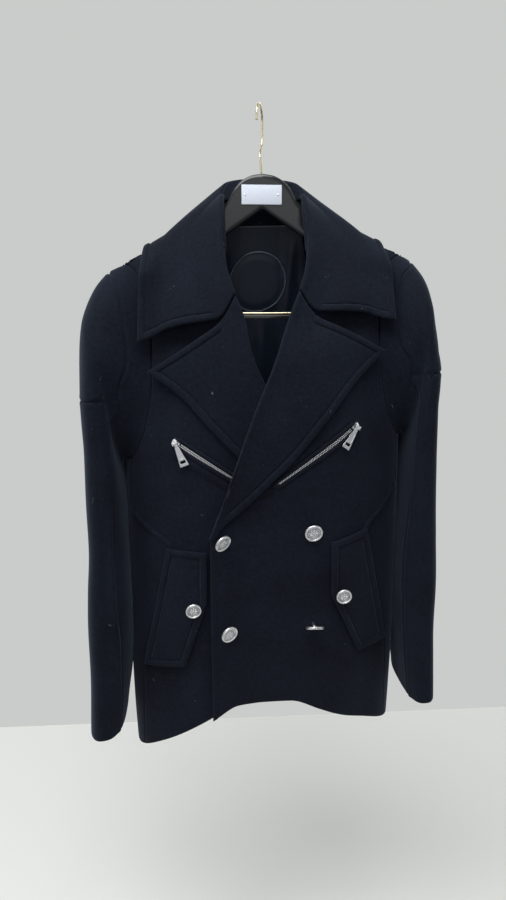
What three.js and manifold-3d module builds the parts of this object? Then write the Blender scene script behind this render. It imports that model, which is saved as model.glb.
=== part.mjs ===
// A heavy wool double-breasted coat, buttoned left over right, hanging from a contoured hanger.
// Millimetres, +Z up, +X to the wearer's left, the front of the coat faces -Y.
// The origin is the inner top of the hanger's hook, where a rail or a chain carries it.
import * as THREE from "three";
import Module from "manifold-3d";
import { mergeVertices } from "three/addons/utils/BufferGeometryUtils.js";

const wasm = await Module();
wasm.setup();

// ---------- driving dimensions ----------
const CLOTH = 2.6; // one layer of heavy melton
const LEAF = 4.4; // collar, lapels and flaps are two layers, turned and pressed
const SATIN = 1.2; // lining with its interlining
const GAP = 0.3; // between two pieces at a seam
const UNDERARM = -460; // height of the bottom of the armhole
const DEPTH_CENTRE = -16; // the coat's middle, front to back
const SHOULDER_POWER = 1.7; // roundness of the shoulder seen from the side
const NECK_SIDE = 60; // half the neck hole, where the shoulder seam starts
const NECK_SIDE_HEIGHT = -124;
const SHOULDER_TIP = 193;
const SHOULDER_TIP_HEIGHT = -207;
const SHOULDER_FLATTEN = 0.82; // under 1 the slope is steeper near the neck
const RIDGE_FORWARD = 24; // the hanger's arms curve forward by this much
const FRONT_EDGE = -79; // each front passes the middle by this much
const UNDER_SPREAD = 9;
const OVERLAP_LIFT = 11; // how far the left front stands off, over the right one and its lapel
const BAND = 9; // raised, edge-stitched border of collar, lapels and flaps
const BAND_LIFT = 1.1;
const BAND_SLOPE = 2.5; // over which the border falls to the leaf
const SHIFT = 4; // the coat hangs this far to its left on the hanger

// Horizontal sections of the coat below the armholes: half width, half depth before and
// behind the middle, squareness, and how far the middle of the front falls in.
const SECTIONS = [
  { z: -950, width: 195, front: 100, back: 94, power: 3.1, hollow: 16 },
  { z: -850, width: 199, front: 101, back: 96, power: 3.0, hollow: 12 },
  { z: -740, width: 201, front: 101, back: 97, power: 2.8, hollow: 4 },
  { z: -640, width: 201, front: 100, back: 97, power: 2.7, hollow: 0 },
  { z: -540, width: 200, front: 99, back: 98, power: 2.6, hollow: 0 },
  { z: -460, width: 200, front: 100, back: 100, power: 2.6, hollow: 0 },
];
// The hem hangs lower at the sides than at the middle of the front.
const HEM = [
  { x: 0, front: -830, back: -878 },
  { x: 40, front: -832, back: -880 },
  { x: 80, front: -852, back: -886 },
  { x: 120, front: -873, back: -894 },
  { x: 160, front: -891, back: -903 },
  { x: 200, front: -914, back: -914 },
];
// The coat hangs a little askew: one side is lower, by this much for each millimetre across.
const LEAN = [
  { z: -950, lean: 0.085 },
  { z: -330, lean: 0.085 },
  { z: -280, lean: 0.078 },
  { z: -210, lean: 0.038 },
  { z: -90, lean: 0.0 },
];
// The armhole, from the shoulder tip (0) down to the underarm (90): half width, front and back.
const ARMHOLE = [
  { angle: 0, front: 193, back: 193 },
  { angle: 10, front: 185, back: 188 },
  { angle: 22, front: 173, back: 181 },
  { angle: 35, front: 163, back: 175 },
  { angle: 50, front: 156, back: 171 },
  { angle: 63, front: 156, back: 170 },
  { angle: 77, front: 165, back: 174 },
  { angle: 90, front: 186, back: 185.4 },
];
// Where each front folds back into its lapel, from the top button to the neck.
const ROLL_LINE = [
  { z: -572, x: -79 },
  { z: -520, x: -60 },
  { z: -476, x: -45 },
  { z: -405, x: -19 },
  { z: -345, x: 7 },
  { z: -300, x: 23 },
  { z: -272, x: 34 },
  { z: -243, x: 46 },
  { z: -212, x: 54 },
  { z: -170, x: 58 },
  { z: -124, x: 60 },
];
// Seam between front and side panel: down from the armhole, in along the slanted welt,
// and down the sewn edge of the pocket flap.
const SIDE_SEAM = [
  { z: -460, x: 186 },
  { z: -500, x: 190 },
  { z: -532, x: 191 },
  { z: -560, x: 170 },
  { z: -588, x: 142 },
  { z: -640, x: 151 },
  { z: -700, x: 164 },
  { z: -763, x: 178 },
  { z: -950, x: 184 },
];
// The lapel's free edge, from the break at the top button to the tip.
const LAPEL_EDGE = [
  { w: 0, x: -72, z: -571 },
  { w: 0.1, x: -60, z: -555 },
  { w: 0.28, x: -26, z: -525 },
  { w: 0.5, x: 30, z: -474 },
  { w: 0.72, x: 76, z: -423 },
  { w: 0.88, x: 117, z: -375 },
  { w: 1, x: 156, z: -342 },
];
// Top of the lapel: the gorge seam, the notch and the upper edge out to the tip.
const LAPEL_TOP = [
  { c: 0, x: 41, z: -254 },
  { c: 0.27, x: 62, z: -285.5 },
  { c: 0.55, x: 102, z: -312 },
  { c: 0.8, x: 132, z: -329 },
  { c: 1, x: 156, z: -342 },
];
// The collar, from its front end to the middle of the back: where it folds, and its outer edge.
const COLLAR = [
  { s: 0, fx: 42, fy: -91, fz: -251, ex: 168, ey: -92, ez: -303 },
  { s: 1, fx: 53, fy: -76, fz: -215, ex: 168, ey: -77, ez: -260 },
  { s: 2, fx: 57, fy: -40, fz: -166, ex: 168, ey: -56, ez: -222 },
  { s: 3, fx: 57, fy: 0, fz: -118, ex: 165, ey: -22, ez: -192 },
  { s: 4, fx: 49, fy: 26, fz: -95, ex: 150, ey: 24, ez: -196 },
  { s: 5, fx: 28, fy: 40, fz: -89, ex: 88, ey: 66, ez: -196 },
  { s: 6, fx: 0, fy: 44, fz: -88, ex: 0, ey: 80, ez: -192 },
];
// Front end of the collar: the gorge seam, the notch and the leading edge out to the tip.
const COLLAR_END = [
  { c: 0, x: 42, z: -251 },
  { c: 0.25, x: 66, z: -281 },
  { c: 0.6, x: 122, z: -289 },
  { c: 1, x: 168, z: -303 },
];
// Sleeve sections from the armhole to the cuff: outermost and innermost point, middle and half
// depth front to back, how level the section lies before it drops to the underarm, and how far
// it has left the shape of the armhole. The two sleeves don't hang alike: left and right say
// how much nearer the body each one's outermost point is, and rise how much higher the right's.
const SLEEVE = [
  { k: 0, ox: 193, oz: -207, ix: 198, iz: -460, y: -22, depth: 66, level: 0, free: 0 },
  { k: 1, ox: 206, oz: -212, ix: 201, iz: -466, y: -24, depth: 70, level: 0.15, free: 0.32 },
  { k: 2, ox: 221, oz: -224, ix: 203, iz: -470, y: -26, depth: 74, level: 0.28, free: 0.6 },
  { k: 3, ox: 236, oz: -247, ix: 204, iz: -474, y: -28, depth: 76, level: 0.41, free: 0.85 },
  { k: 4, ox: 247, oz: -279, ix: 204, iz: -478, y: -30, depth: 77, level: 0.5, free: 1 },
  { k: 5, ox: 255, oz: -311, ix: 204, iz: -482, y: -32, depth: 77, level: 0.62, free: 1 },
  { k: 6, ox: 259, oz: -342, ix: 204, iz: -487, y: -34, depth: 76, level: 0.78, free: 1 },
  { k: 7, ox: 260, oz: -372, ix: 203.5, iz: -494, y: -36, depth: 76, level: 1, free: 1 },
  { k: 8, ox: 258, oz: -435, ix: 202.5, iz: -515, y: -39, depth: 75, level: 0.8, free: 1 },
  { k: 9, ox: 257, oz: -500, ix: 202, iz: -552, y: -42, depth: 75, level: 0.4, free: 1 },
  { k: 10, ox: 257, oz: -570, ix: 202, iz: -600, y: -45, depth: 74, level: 0, free: 1 },
  { k: 11, ox: 258, oz: -640, ix: 202, iz: -655, y: -48, depth: 73, level: 0, free: 1 },
  { k: 12, ox: 260, oz: -712, ix: 202, iz: -716, y: -51, depth: 72, level: 0, free: 1 },
  { k: 13, ox: 262, oz: -785, ix: 203, iz: -784, y: -55, depth: 71, level: 0, free: 1 },
  { k: 14, ox: 263, oz: -857, ix: 208, iz: -854, y: -59, depth: 70, level: 0, free: 1 },
];
const SLEEVE_HANGS = [
  { k: 0, left: 0, right: 0, rise: 0 },
  { k: 1, left: 0, right: -2, rise: 1 },
  { k: 2, left: 3, right: -7, rise: 3 },
  { k: 3, left: 8, right: -6, rise: 7 },
  { k: 4, left: 14, right: -4, rise: 9 },
  { k: 5, left: 17, right: 0, rise: 8 },
  { k: 6, left: 17, right: 3, rise: 3 },
  { k: 7, left: 15, right: 4, rise: 0 },
  { k: 9, left: 14, right: 4, rise: 0 },
  { k: 14, left: 12, right: 4, rise: 0 },
];
// How far round the sleeve a place on the armhole lies.
const SLEEVE_TURN = [
  { angle: 0, theta: 0 },
  { angle: 22, theta: 44 },
  { angle: 50, theta: 88 },
  { angle: 77, theta: 128 },
  { angle: 90, theta: 153 },
];
const UNDER_START = SLEEVE_TURN.at(-1).theta;
const LEVEL_LIMIT = -0.34; // cosine of the turn past which a level section drops to the underarm
const SLEEVE_POWER = 2.7; // squareness of the lower sleeve's section
const CAP_TOP = 2; // sections between which the shoulder panel of the sleeve lies
const CAP_BOTTOM = 7;
// The pocket flap: its corners, and how far its free side lifts. The two flaps hang a little
// differently at their free lower corner.
const FLAP = {
  topOuter: [139, -586],
  topInner: [84, -593],
  bottomOuter: [175, -764],
  bottomInner: { left: [130, -768], right: [116, -762] },
  innerCorner: 0.43,
  innerCornerX: 85,
};
const FLAP_LENGTH = 182;
const FLAP_LOOSE = 3;
const COLLAR_OVER_SLEEVE = 19; // the collar's outer corner stands this far before the sleeve's top
const COLLAR_BULGE = 7; // the collar's fall is a little rounded between fold and edge
// Chest zips: the slider's place, the far end of the teeth, and the degrees between the
// hanging pull and the coat's up and down.
const ZIPS = [
  { side: 1, hand: "left", slider: [115, -438], end: [11, -504], swing: 34 },
  { side: -1, hand: "right", slider: [123, -438], end: [44, -495], swing: 21 },
];
const ZIP_WIDTH = 5.2;
const ZIP_HEIGHT = 1.5;
const ZIP_REST = 0.45; // gap under the teeth
const SLIDER = {
  length: 11,
  width: 8,
  height: 4.2,
  ear: 1.4,
  earLength: 5,
  earOffset: 3.2,
  earTop: 9.2,
  pin: 1,
  pinHeight: 6.9,
};
const PULL = {
  eye: 2.3,
  hole: 1.35,
  eyeWidth: 4,
  length: 33,
  neck: 4.5,
  shoulder: 5,
  foot: 13,
  thick: 1.6,
};
const PULL_SLOT = { from: 25, to: 29, half: 3.2 };
const PULL_TILT = 5.5; // degrees by which its free end lies nearer the cloth
// Buttons: place, radius, how far the face droops from upright, and how far it turns to the
// coat's left. The first four stand on the left front, the last two on the flaps.
const BUTTONS = [
  { name: "button_upper_right", side: 1, x: -61, z: -576, size: 12.5, droop: 22, turn: 38 },
  { name: "button_upper_left", side: 1, x: 59.5, z: -576, size: 12.5, droop: 14, turn: 4 },
  { name: "button_lower_right", side: 1, x: -54, z: -709, size: 12.5, droop: 14, turn: 30 },
  { name: "button_lower_left", side: 1, x: 62.5, z: -711, size: 12.5, droop: 66, turn: 0 },
  { name: "flap_button_right", side: -1, x: 101.5, z: -673, size: 11, droop: 9, turn: 8, flap: true },
  { name: "flap_button_left", side: 1, x: 99, z: -671, size: 11, droop: 9, turn: 4, flap: true },
];
const BUTTON_HEIGHT = 7; // of the disc's middle over the cloth
const SHANK = 2.2;
// The hanger, from its middle to an arm's end: top edge, height and half thickness.
// From the neck outwards the top edge follows the coat's shoulder from inside.
const HANGER = [
  { x: 0, top: -89, height: 47, half: 6.5 },
  { x: 12, top: -90.5, height: 52.5, half: 6.5 },
  { x: 24, top: -95, height: 55, half: 6.5 },
  { x: 38, top: -107.5, height: 51, half: 6.5 },
  { x: 50, top: -127, height: 40, half: 6.5 },
  { x: 60, top: -134, height: 40, half: 7 },
];
const ARM = [
  { x: 78, height: 42, half: 9 },
  { x: 105, height: 42, half: 11.5 },
  { x: 135, height: 40, half: 12 },
  { x: 160, height: 34, half: 10 },
  { x: 176, height: 26, half: 7 },
  { x: 182, height: 14, half: 4 },
];
const ARM_CLEARANCE = 3.2;
const HOOK_WIRE = 3.4;
const HOOK_RADIUS = 20; // inside
const HOOK_SWIVEL = 75; // degrees out of the hanger's plane
const BAR_HEIGHT = -279;
const BAR_WIRE = 3.6;
const BAR_HALF = 146;
const BAR_BEND = 14;
const CLAMP_BAR = { half: 130, width: 8, height: 6 };
const PLATE = { width: 56, height: 26, thick: 1.2, z: -117.5, x: 2.5 };
// The lining of the back, and the round patch on it.
const LINING_HALF = 138;
const LINING_DROP = -560;
const LINING_REST = CLOTH + 5.6 + SATIN; // its face lies this far inside the coat's outer face
const LINING_TOP = 38; // degrees behind the ridge, where it clears the hanger's arms
const FACING_BOTTOM = -152; // the back neck is faced with cloth down to here
const PATCH = { x: -3, z: -231, radius: 45, thick: 1.2, rest: 1, rim: 0.9 };

// ---------- small tools ----------
const DEG = Math.PI / 180;
const lerp = (a, b, t) => a + (b - a) * t;
const clamp = (v, low, high) => Math.min(high, Math.max(low, v));
const smooth = (a, b, v) => {
  const t = clamp((v - a) / (b - a), 0, 1);
  return t * t * (3 - 2 * t);
};
const power = (v, p) => Math.sign(v) * Math.abs(v) ** p;

// A column of a table at a place between its rows, on a smooth curve without overshoot.
function column(rows, key, name, at) {
  const up = rows[1][key] > rows[0][key];
  const last = rows.length - 1;
  let i = 0;
  while (i < last - 1 && (up ? at > rows[i + 1][key] : at < rows[i + 1][key])) i++;
  const slope = (j) => (rows[j + 1][name] - rows[j][name]) / (rows[j + 1][key] - rows[j][key]);
  const tangent = (j) => {
    if (j === 0) return slope(0);
    if (j === last) return slope(last - 1);
    const a = slope(j - 1);
    const b = slope(j);
    return a * b <= 0 ? 0 : (2 * a * b) / (a + b);
  };
  const span = rows[i + 1][key] - rows[i][key];
  const t = clamp((at - rows[i][key]) / span, 0, 1);
  const t2 = t * t;
  const t3 = t2 * t;
  return (
    (2 * t3 - 3 * t2 + 1) * rows[i][name] +
    (t3 - 2 * t2 + t) * span * tangent(i) +
    (3 * t2 - 2 * t3) * rows[i + 1][name] +
    (t3 - t2) * span * tangent(i + 1)
  );
}

// ---------- the coat's form ----------
const section = (name, z) => column(SECTIONS, "z", name, z);

// The shoulder falls from the side of the neck to its tip, and flattens towards the padded tip.
function shoulderHeight(x) {
  const out = Math.max(Math.abs(x), 30);
  if (out < NECK_SIDE) return NECK_SIDE_HEIGHT + (NECK_SIDE - out) * 0.6;
  const share = (out - NECK_SIDE) / (SHOULDER_TIP - NECK_SIDE);
  return lerp(NECK_SIDE_HEIGHT, SHOULDER_TIP_HEIGHT, share ** SHOULDER_FLATTEN);
}

const ridgeDepth = (x) =>
  -2 - RIDGE_FORWARD * (clamp(Math.abs(x) - NECK_SIDE, 0, 200) / (SHOULDER_TIP - NECK_SIDE)) ** 1.5;

// Half depth of the section at height z and half width x; side is -1 before, 1 behind.
function halfDepth(x, z, side) {
  const width = section("width", z);
  const n = section("power", z);
  const share = Math.max(1 - Math.abs(x / width) ** n, 0) ** (1 / n);
  const dent = side < 0 ? section("hollow", z) * Math.exp(-((x / 110) ** 2)) : 0;
  return section(side < 0 ? "front" : "back", z) * share - dent;
}

// A point of the form below the armhole; turn runs from 0 at the front to 180 at the back.
function bodyPoint(turn, z) {
  const width = section("width", z);
  const n = section("power", z);
  const x = width * power(Math.sin(turn * DEG), 2 / n);
  const side = Math.abs(turn) > 90 ? 1 : -1;
  return new THREE.Vector3(x, DEPTH_CENTRE + side * halfDepth(x, z, side), z);
}

// A point of the form above the armhole's bottom; angle runs from -90 at the front, over the
// shoulder at 0, to 90 at the back.
function shoulderPoint(x, angle) {
  const side = angle < 0 ? -1 : 1;
  const reach = DEPTH_CENTRE + side * halfDepth(x, UNDERARM, side) - ridgeDepth(x);
  const e = 2 / SHOULDER_POWER;
  return new THREE.Vector3(
    x,
    ridgeDepth(x) + reach * Math.abs(Math.sin(angle * DEG)) ** e,
    UNDERARM + (shoulderHeight(x) - UNDERARM) * Math.abs(Math.cos(angle * DEG)) ** e,
  );
}

// The angle at which the form above the armhole's bottom passes height z.
function shoulderAngle(x, z) {
  const share = clamp((z - UNDERARM) / (shoulderHeight(x) - UNDERARM), 0, 1);
  return Math.acos(share ** (SHOULDER_POWER / 2)) / DEG;
}

// The front of the form over (x, z), and the same moved out along the form's own normal.
function frontPoint(x, z) {
  if (z >= UNDERARM) return shoulderPoint(x, -shoulderAngle(x, z));
  return new THREE.Vector3(x, DEPTH_CENTRE - halfDepth(x, z, -1), z);
}
function onFront(x, z, lift) {
  const step = 2;
  const across = frontPoint(x + step, z).sub(frontPoint(x - step, z));
  const up = frontPoint(x, z + step).sub(frontPoint(x, z - step));
  return frontPoint(x, z).addScaledVector(across.cross(up).normalize(), lift);
}

// The right front's roll line lies a little further from the middle than the left one's.
const rollLine = (side, z) =>
  column(ROLL_LINE, "z", "x", z) +
  (side < 0 ? UNDER_SPREAD * smooth(-430, -345, z) * (1 - smooth(-330, -268, z)) : 0);

// The form's outward direction at a point on it or near it.
function formNormal(p) {
  const level = (x, y, z) => {
    const side = y < (z < UNDERARM ? DEPTH_CENTRE : ridgeDepth(x)) ? -1 : 1;
    if (z < UNDERARM) {
      const n = section("power", z);
      const depth = section(side < 0 ? "front" : "back", z);
      return Math.abs(x / section("width", z)) ** n + Math.abs((y - DEPTH_CENTRE) / depth) ** n;
    }
    const reach = Math.abs(DEPTH_CENTRE + side * halfDepth(x, UNDERARM, side) - ridgeDepth(x));
    const rise = (z - UNDERARM) / (shoulderHeight(x) - UNDERARM);
    return Math.abs((y - ridgeDepth(x)) / reach) ** SHOULDER_POWER + Math.abs(rise) ** SHOULDER_POWER;
  };
  const step = 0.05;
  const slope = (dx, dy, dz) =>
    level(p.x + dx, p.y + dy, p.z + dz) - level(p.x - dx, p.y - dy, p.z - dz);
  return new THREE.Vector3(slope(step, 0, 0), slope(0, step, 0), slope(0, 0, step)).normalize();
}
const formNormals = (points) => points.map((row) => row.map((p) => formNormal(p)));

// Pushes a point out until it lies clear of the form by the given distance.
function drape(p, clear) {
  if (p.z < UNDERARM) {
    return new THREE.Vector3(p.x, Math.min(p.y, frontPoint(p.x, p.z).y - clear), p.z);
  }
  const middle = ridgeDepth(p.x);
  const side = p.y < middle ? -1 : 1;
  const reach = Math.abs(DEPTH_CENTRE + side * halfDepth(p.x, UNDERARM, side) - middle) + clear;
  const rise = (p.z - UNDERARM) / (shoulderHeight(p.x) - UNDERARM + clear);
  const out = (p.y - middle) / reach;
  const m = SHOULDER_POWER;
  const level = (Math.abs(out) ** m + rise ** m) ** (1 / m);
  if (level >= 1) return p.clone();
  if (rise < 0.88) {
    return new THREE.Vector3(p.x, middle + side * reach * (1 - rise ** m) ** (1 / m), p.z);
  }
  const height = UNDERARM + (p.z - UNDERARM) / level;
  return new THREE.Vector3(p.x, middle + (p.y - middle) / level, height);
}

// How far the left front stands off where it crosses the right one.
function frontLift(side, x, z) {
  if (side < 0) return 0;
  return OVERLAP_LIFT * (1 - smooth(84, 150, x)) * (1 - smooth(-350, -285, z));
}

// The whole coat hangs a little askew on the hanger.
function hang(p) {
  return new THREE.Vector3(p.x + SHIFT, p.y, p.z + column(LEAN, "z", "lean", p.z) * p.x);
}

// ---------- walls ----------
// A grid of points (rows of columns) becomes a closed wall: the points are its outer face and
// the inner face lies one thickness behind. keep(row, column) says which cells are in the wall.
function wall(points, thickness, { closed = false, keep = () => true, normals = null } = {}) {
  const rows = points.length;
  const cols = points[0].length;
  const across = (j) => (closed ? (j + cols) % cols : clamp(j, 0, cols - 1));
  const at = (i, j) => points[clamp(i, 0, rows - 1)][across(j)];
  const cells = closed ? cols : cols - 1;
  const kept = (i, j) => {
    if (i < 0 || i >= rows - 1) return false;
    if (!closed && (j < 0 || j >= cells)) return false;
    return keep(i, (j + cells) % cells);
  };
  const index = new Map();
  const outer = [];
  const inner = [];
  const vertex = (i, j) => {
    const column = closed ? (j + cols) % cols : j;
    const key = i * cols + column;
    if (!index.has(key)) {
      index.set(key, outer.length);
      const normal = normals ? normals[i][column].clone() : new THREE.Vector3();
      for (const [di, dj] of [[0, 0], [-1, 0], [0, -1], [-1, -1]]) {
        if (normals || !kept(i + di, column + dj)) continue;
        const a = at(i + di, column + dj);
        const b = at(i + di + 1, column + dj + 1);
        const c = at(i + di, column + dj + 1);
        const d = at(i + di + 1, column + dj);
        normal.add(b.clone().sub(a).cross(d.clone().sub(c)).normalize());
      }
      normal.normalize();
      outer.push(at(i, column));
      inner.push(at(i, column).clone().addScaledVector(normal, -thickness));
    }
    return index.get(key);
  };
  const outerFaces = [];
  const rims = [];
  for (let i = 0; i < rows - 1; i++) {
    for (let j = 0; j < cells; j++) {
      if (!kept(i, j)) continue;
      const a = vertex(i, j);
      const b = vertex(i, j + 1);
      const c = vertex(i + 1, j + 1);
      const d = vertex(i + 1, j);
      outerFaces.push([a, b, c], [a, c, d]);
      if (!kept(i - 1, j)) rims.push([a, b]);
      if (!kept(i, j + 1)) rims.push([b, c]);
      if (!kept(i + 1, j)) rims.push([c, d]);
      if (!kept(i, j - 1)) rims.push([d, a]);
    }
  }
  const n = outer.length;
  const triangles = [];
  for (const [a, b, c] of outerFaces) triangles.push(a, b, c, n + a, n + c, n + b);
  for (const [a, b] of rims) triangles.push(b, a, n + a, b, n + a, n + b);
  const all = [...outer, ...inner].map(hang);
  return new THREE.BufferGeometry()
    .setAttribute("position", new THREE.Float32BufferAttribute(all.flatMap((p) => p.toArray()), 3))
    .setIndex(triangles);
}

// The same grid on either side of the coat: side 1 as given, side -1 mirrored.
function onSide(side, points) {
  if (side > 0) return points;
  return points.map((row) => row.map((p) => new THREE.Vector3(-p.x, p.y, p.z)).reverse());
}

// Moves a point over the cloth towards a neighbour, square to the seam that it lies on.
function pull(p, towards, along, distance) {
  const seam = along.clone().normalize();
  const step = towards.clone().sub(p);
  step.addScaledVector(seam, -step.dot(seam));
  return step.normalize().multiplyScalar(distance);
}

// Keeps the kept cells of a grid half a seam's gap away from the pieces beside them. Edges
// named in reach move by that distance instead.
function inset(points, { closed = false, keep = () => true, reach = {} } = {}) {
  const rows = points.length;
  const cols = points[0].length;
  const cells = closed ? cols : cols - 1;
  const has = (i, j) => {
    if (i < 0 || i >= rows - 1 || (!closed && (j < 0 || j >= cells))) return false;
    return keep(i, (j + cells) % cells);
  };
  const column = (j) => (closed ? (j + cols) % cols : clamp(j, 0, cols - 1));
  return points.map((row, i) =>
    row.map((p, j) => {
      let di = 0;
      let dj = 0;
      for (const [ci, cj] of [[0, 0], [-1, 0], [0, -1], [-1, -1]]) {
        if (!has(i + ci, closed ? (j + cj + cols) % cols : j + cj)) continue;
        di += ci ? -1 : 1;
        dj += cj ? -1 : 1;
      }
      const out = p.clone();
      const below = points[Math.min(i + 1, rows - 1)][j];
      const upDown = below.clone().sub(points[Math.max(i - 1, 0)][j]);
      const across = row[column(j + 1)].clone().sub(row[column(j - 1)]);
      const rowName = i === 0 ? "first" : i === rows - 1 ? "last" : "rows";
      const rowReach = reach[rowName] ?? GAP / 2;
      const columnReach = reach.sides ?? GAP / 2;
      const nextRow = points[i + Math.sign(di)];
      if (di && nextRow && rowReach) out.add(pull(p, nextRow[j], across, rowReach));
      if (dj && columnReach) out.add(pull(p, row[column(j + Math.sign(dj))], upDown, columnReach));
      return out;
    }),
  );
}

// ---------- materials ----------
function finish(color, roughness, metalness) {
  return new THREE.MeshStandardMaterial({ color, roughness, metalness });
}
const melton = finish(0x171b23, 0.95, 0);
const satin = finish(0x0e141c, 0.4, 0);
const nickel = finish(0xd5d6d8, 0.25, 1);
const gold = finish(0xcdb88a, 0.3, 1);
const lacquer = finish(0x1d1d1f, 0.3, 0);
const card = finish(0xe6eaf2, 0.6, 0);

const garment = new THREE.Group();
function add(name, geometry, material) {
  const mesh = new THREE.Mesh(geometry, material);
  mesh.name = name;
  garment.add(mesh);
  return mesh;
}

// ---------- body panels ----------
const LOWER_ROWS = [
  0, 0.09, 0.18, 0.28, 0.38, 0.48, 0.57, 0.64, 0.69, 0.725, 0.76, 0.79, 0.82, 0.86, 0.93, 1,
];
const ARM_ANGLES = [90, 77, 63, 50, 35, 22, 10, 0];
const RIDGE_GAP = [0.3, 1.6]; // front and back stop this far from the ridge, at neck and tip
const TIP_GAP = 1.5; // front and back end this much before the sleeve on top of the shoulder
const FRONT_COLUMNS = 13;
const SIDE_COLUMNS = 4;
const BACK_COLUMNS = 12;
const ARM_SEAM = 2.4; // the side panel stops this far below the sleeve
const NECK_DIP = 21; // degrees behind the ridge to which the back neckline falls
const BACK_SEAM = 115; // turn at which side and back panel meet

// The turn at which a section passes half width x, before the middle.
function turnAt(x, z) {
  const share = clamp(x / section("width", z), -1, 1);
  return Math.asin(power(share, section("power", z) / 2)) / DEG;
}
const hemHeight = (x, face) => column(HEM, "x", face, Math.abs(x));
const seamHalfWidth = (z) => column(SIDE_SEAM, "z", "x", z);

// A point of the body below the armhole for a panel column that lies at the given turn: row 0
// is the hem and row 1 the bottom of the armhole.
function lowerPoint(turnOf, row) {
  const floor = bodyPoint(turnOf(-890), -890);
  const hem = hemHeight(floor.x, Math.abs(turnOf(-890)) > 90 ? "back" : "front");
  const z = lerp(hem, UNDERARM, row);
  return { turn: turnOf(z), z };
}

// The angle at which the form lies one ridge gap before (-1) or behind (1) its ridge.
function ridgeSeam(x, side) {
  const reach = Math.abs(DEPTH_CENTRE + side * halfDepth(x, UNDERARM, side) - ridgeDepth(x));
  const gap = lerp(...RIDGE_GAP, smooth(160, SHOULDER_TIP, Math.abs(x)));
  return Math.asin((gap / reach) ** (SHOULDER_POWER / 2)) / DEG;
}

function frontPanel(side) {
  const points = [];
  const edgeTurn = (z) => turnAt(z < ROLL_LINE[0].z ? FRONT_EDGE : rollLine(side, z), z);
  for (const row of LOWER_ROWS) {
    points.push([]);
    for (let j = 0; j <= FRONT_COLUMNS; j++) {
      const c = j / FRONT_COLUMNS;
      const at = (z) => lerp(edgeTurn(z), turnAt(seamHalfWidth(z), z), c);
      const { turn, z } = lowerPoint(at, row);
      const p = bodyPoint(turn, z);
      points.at(-1).push(j === FRONT_COLUMNS ? p : onFront(p.x, z, frontLift(side, p.x, z)));
    }
  }
  ARM_ANGLES.slice(1).forEach((armAngle) => {
    points.push([]);
    const share = 1 - armAngle / 90;
    const edgeZ = lerp(UNDERARM, NECK_SIDE_HEIGHT, share ** 0.85);
    const edgeX = rollLine(side, edgeZ);
    const edgeAngle = armAngle ? shoulderAngle(edgeX, edgeZ) : 0;
    const armX = column(ARMHOLE, "angle", "front", armAngle) - (armAngle ? 0 : TIP_GAP);
    for (let j = 0; j <= FRONT_COLUMNS; j++) {
      const c = j / FRONT_COLUMNS;
      const turn = lerp(turnAt(edgeX, UNDERARM), turnAt(armX, UNDERARM), c);
      const x = bodyPoint(turn, UNDERARM).x;
      const p = shoulderPoint(x, -Math.max(lerp(edgeAngle, armAngle, c), ridgeSeam(x, -1)));
      const lift = frontLift(side, x, p.z);
      points.at(-1).push(lift > 0.01 && j < FRONT_COLUMNS ? onFront(x, p.z, lift) : p);
    }
  });
  return inset(points, { reach: { first: 0, last: 0 } });
}

function sidePanel() {
  const points = LOWER_ROWS.map((row) => {
    const line = [];
    for (let j = 0; j <= SIDE_COLUMNS; j++) {
      const at = (z) => lerp(turnAt(seamHalfWidth(z), z), BACK_SEAM, j / SIDE_COLUMNS);
      const { turn, z } = lowerPoint(at, row);
      line.push(bodyPoint(turn, z));
    }
    return line;
  });
  return inset(points, { reach: { first: 0, last: ARM_SEAM, sides: 2 * GAP } });
}

// The back neckline dips behind the neck between the shoulder seams.
const neckAngle = (x) => NECK_DIP * Math.max(1 - (x / NECK_SIDE) ** 2, 0) ** 0.6;

function backRow(armAngle) {
  const line = [];
  const armX = column(ARMHOLE, "angle", "back", armAngle) - (armAngle ? 0 : TIP_GAP);
  const edge = turnAt(armX, UNDERARM);
  for (let j = 0; j <= BACK_COLUMNS; j++) {
    const turn = lerp(edge, -edge, j / BACK_COLUMNS);
    const x = bodyPoint(turn, UNDERARM).x;
    const angle = lerp(neckAngle(x), 90, armAngle / 90);
    line.push(shoulderPoint(x, Math.max(angle, ridgeSeam(x, 1))));
  }
  return line;
}
function backPanel() {
  const points = LOWER_ROWS.map((row) => {
    const line = [];
    for (let j = 0; j <= BACK_COLUMNS; j++) {
      const { turn, z } = lowerPoint(() => lerp(BACK_SEAM, 360 - BACK_SEAM, j / BACK_COLUMNS), row);
      line.push(bodyPoint(turn, z));
    }
    return line;
  });
  ARM_ANGLES.slice(1).forEach((armAngle) => points.push(backRow(armAngle)));
  return inset(points, { reach: { first: 0, last: 0 } });
}

const HANDS = [
  { side: 1, hand: "left" },
  { side: -1, hand: "right" },
];
// A wall that lies on the form: its thickness follows the form's own normals.
function panel(name, side, points, thickness, material) {
  const both = onSide(side, points);
  const normals = onSide(side, formNormals(points));
  return add(name, wall(both, thickness, { normals }), material);
}
for (const { side, hand } of HANDS) {
  panel("front_" + hand, side, frontPanel(side), CLOTH, melton);
  panel("side_" + hand, side, sidePanel(), CLOTH, melton);
}
panel("back", 1, backPanel(), CLOTH, melton);

// ---------- lapels, collar and flaps ----------
// The raised border along an edge: 0 inside it, 1 on it, for a distance from the edge.
const band = (distance) => BAND_LIFT * (1 - smooth(BAND - BAND_SLOPE, BAND, distance));
const LEAF_REST = LEAF + 1.5; // outer face of a leaf that lies on the front
const SEWN_REST = LEAF + 0.45; // and where it is sewn on or turns over
const ROLL_BUMP = 3; // the fold stands proud of the leaf
const ROLL_SPREAD = 120; // and over this, the square of a length, it runs out
const LEAF_COLUMNS = [0, 0.05, 0.14, 0.3, 0.5, 0.7, 0.84, 0.92, 1];

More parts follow.
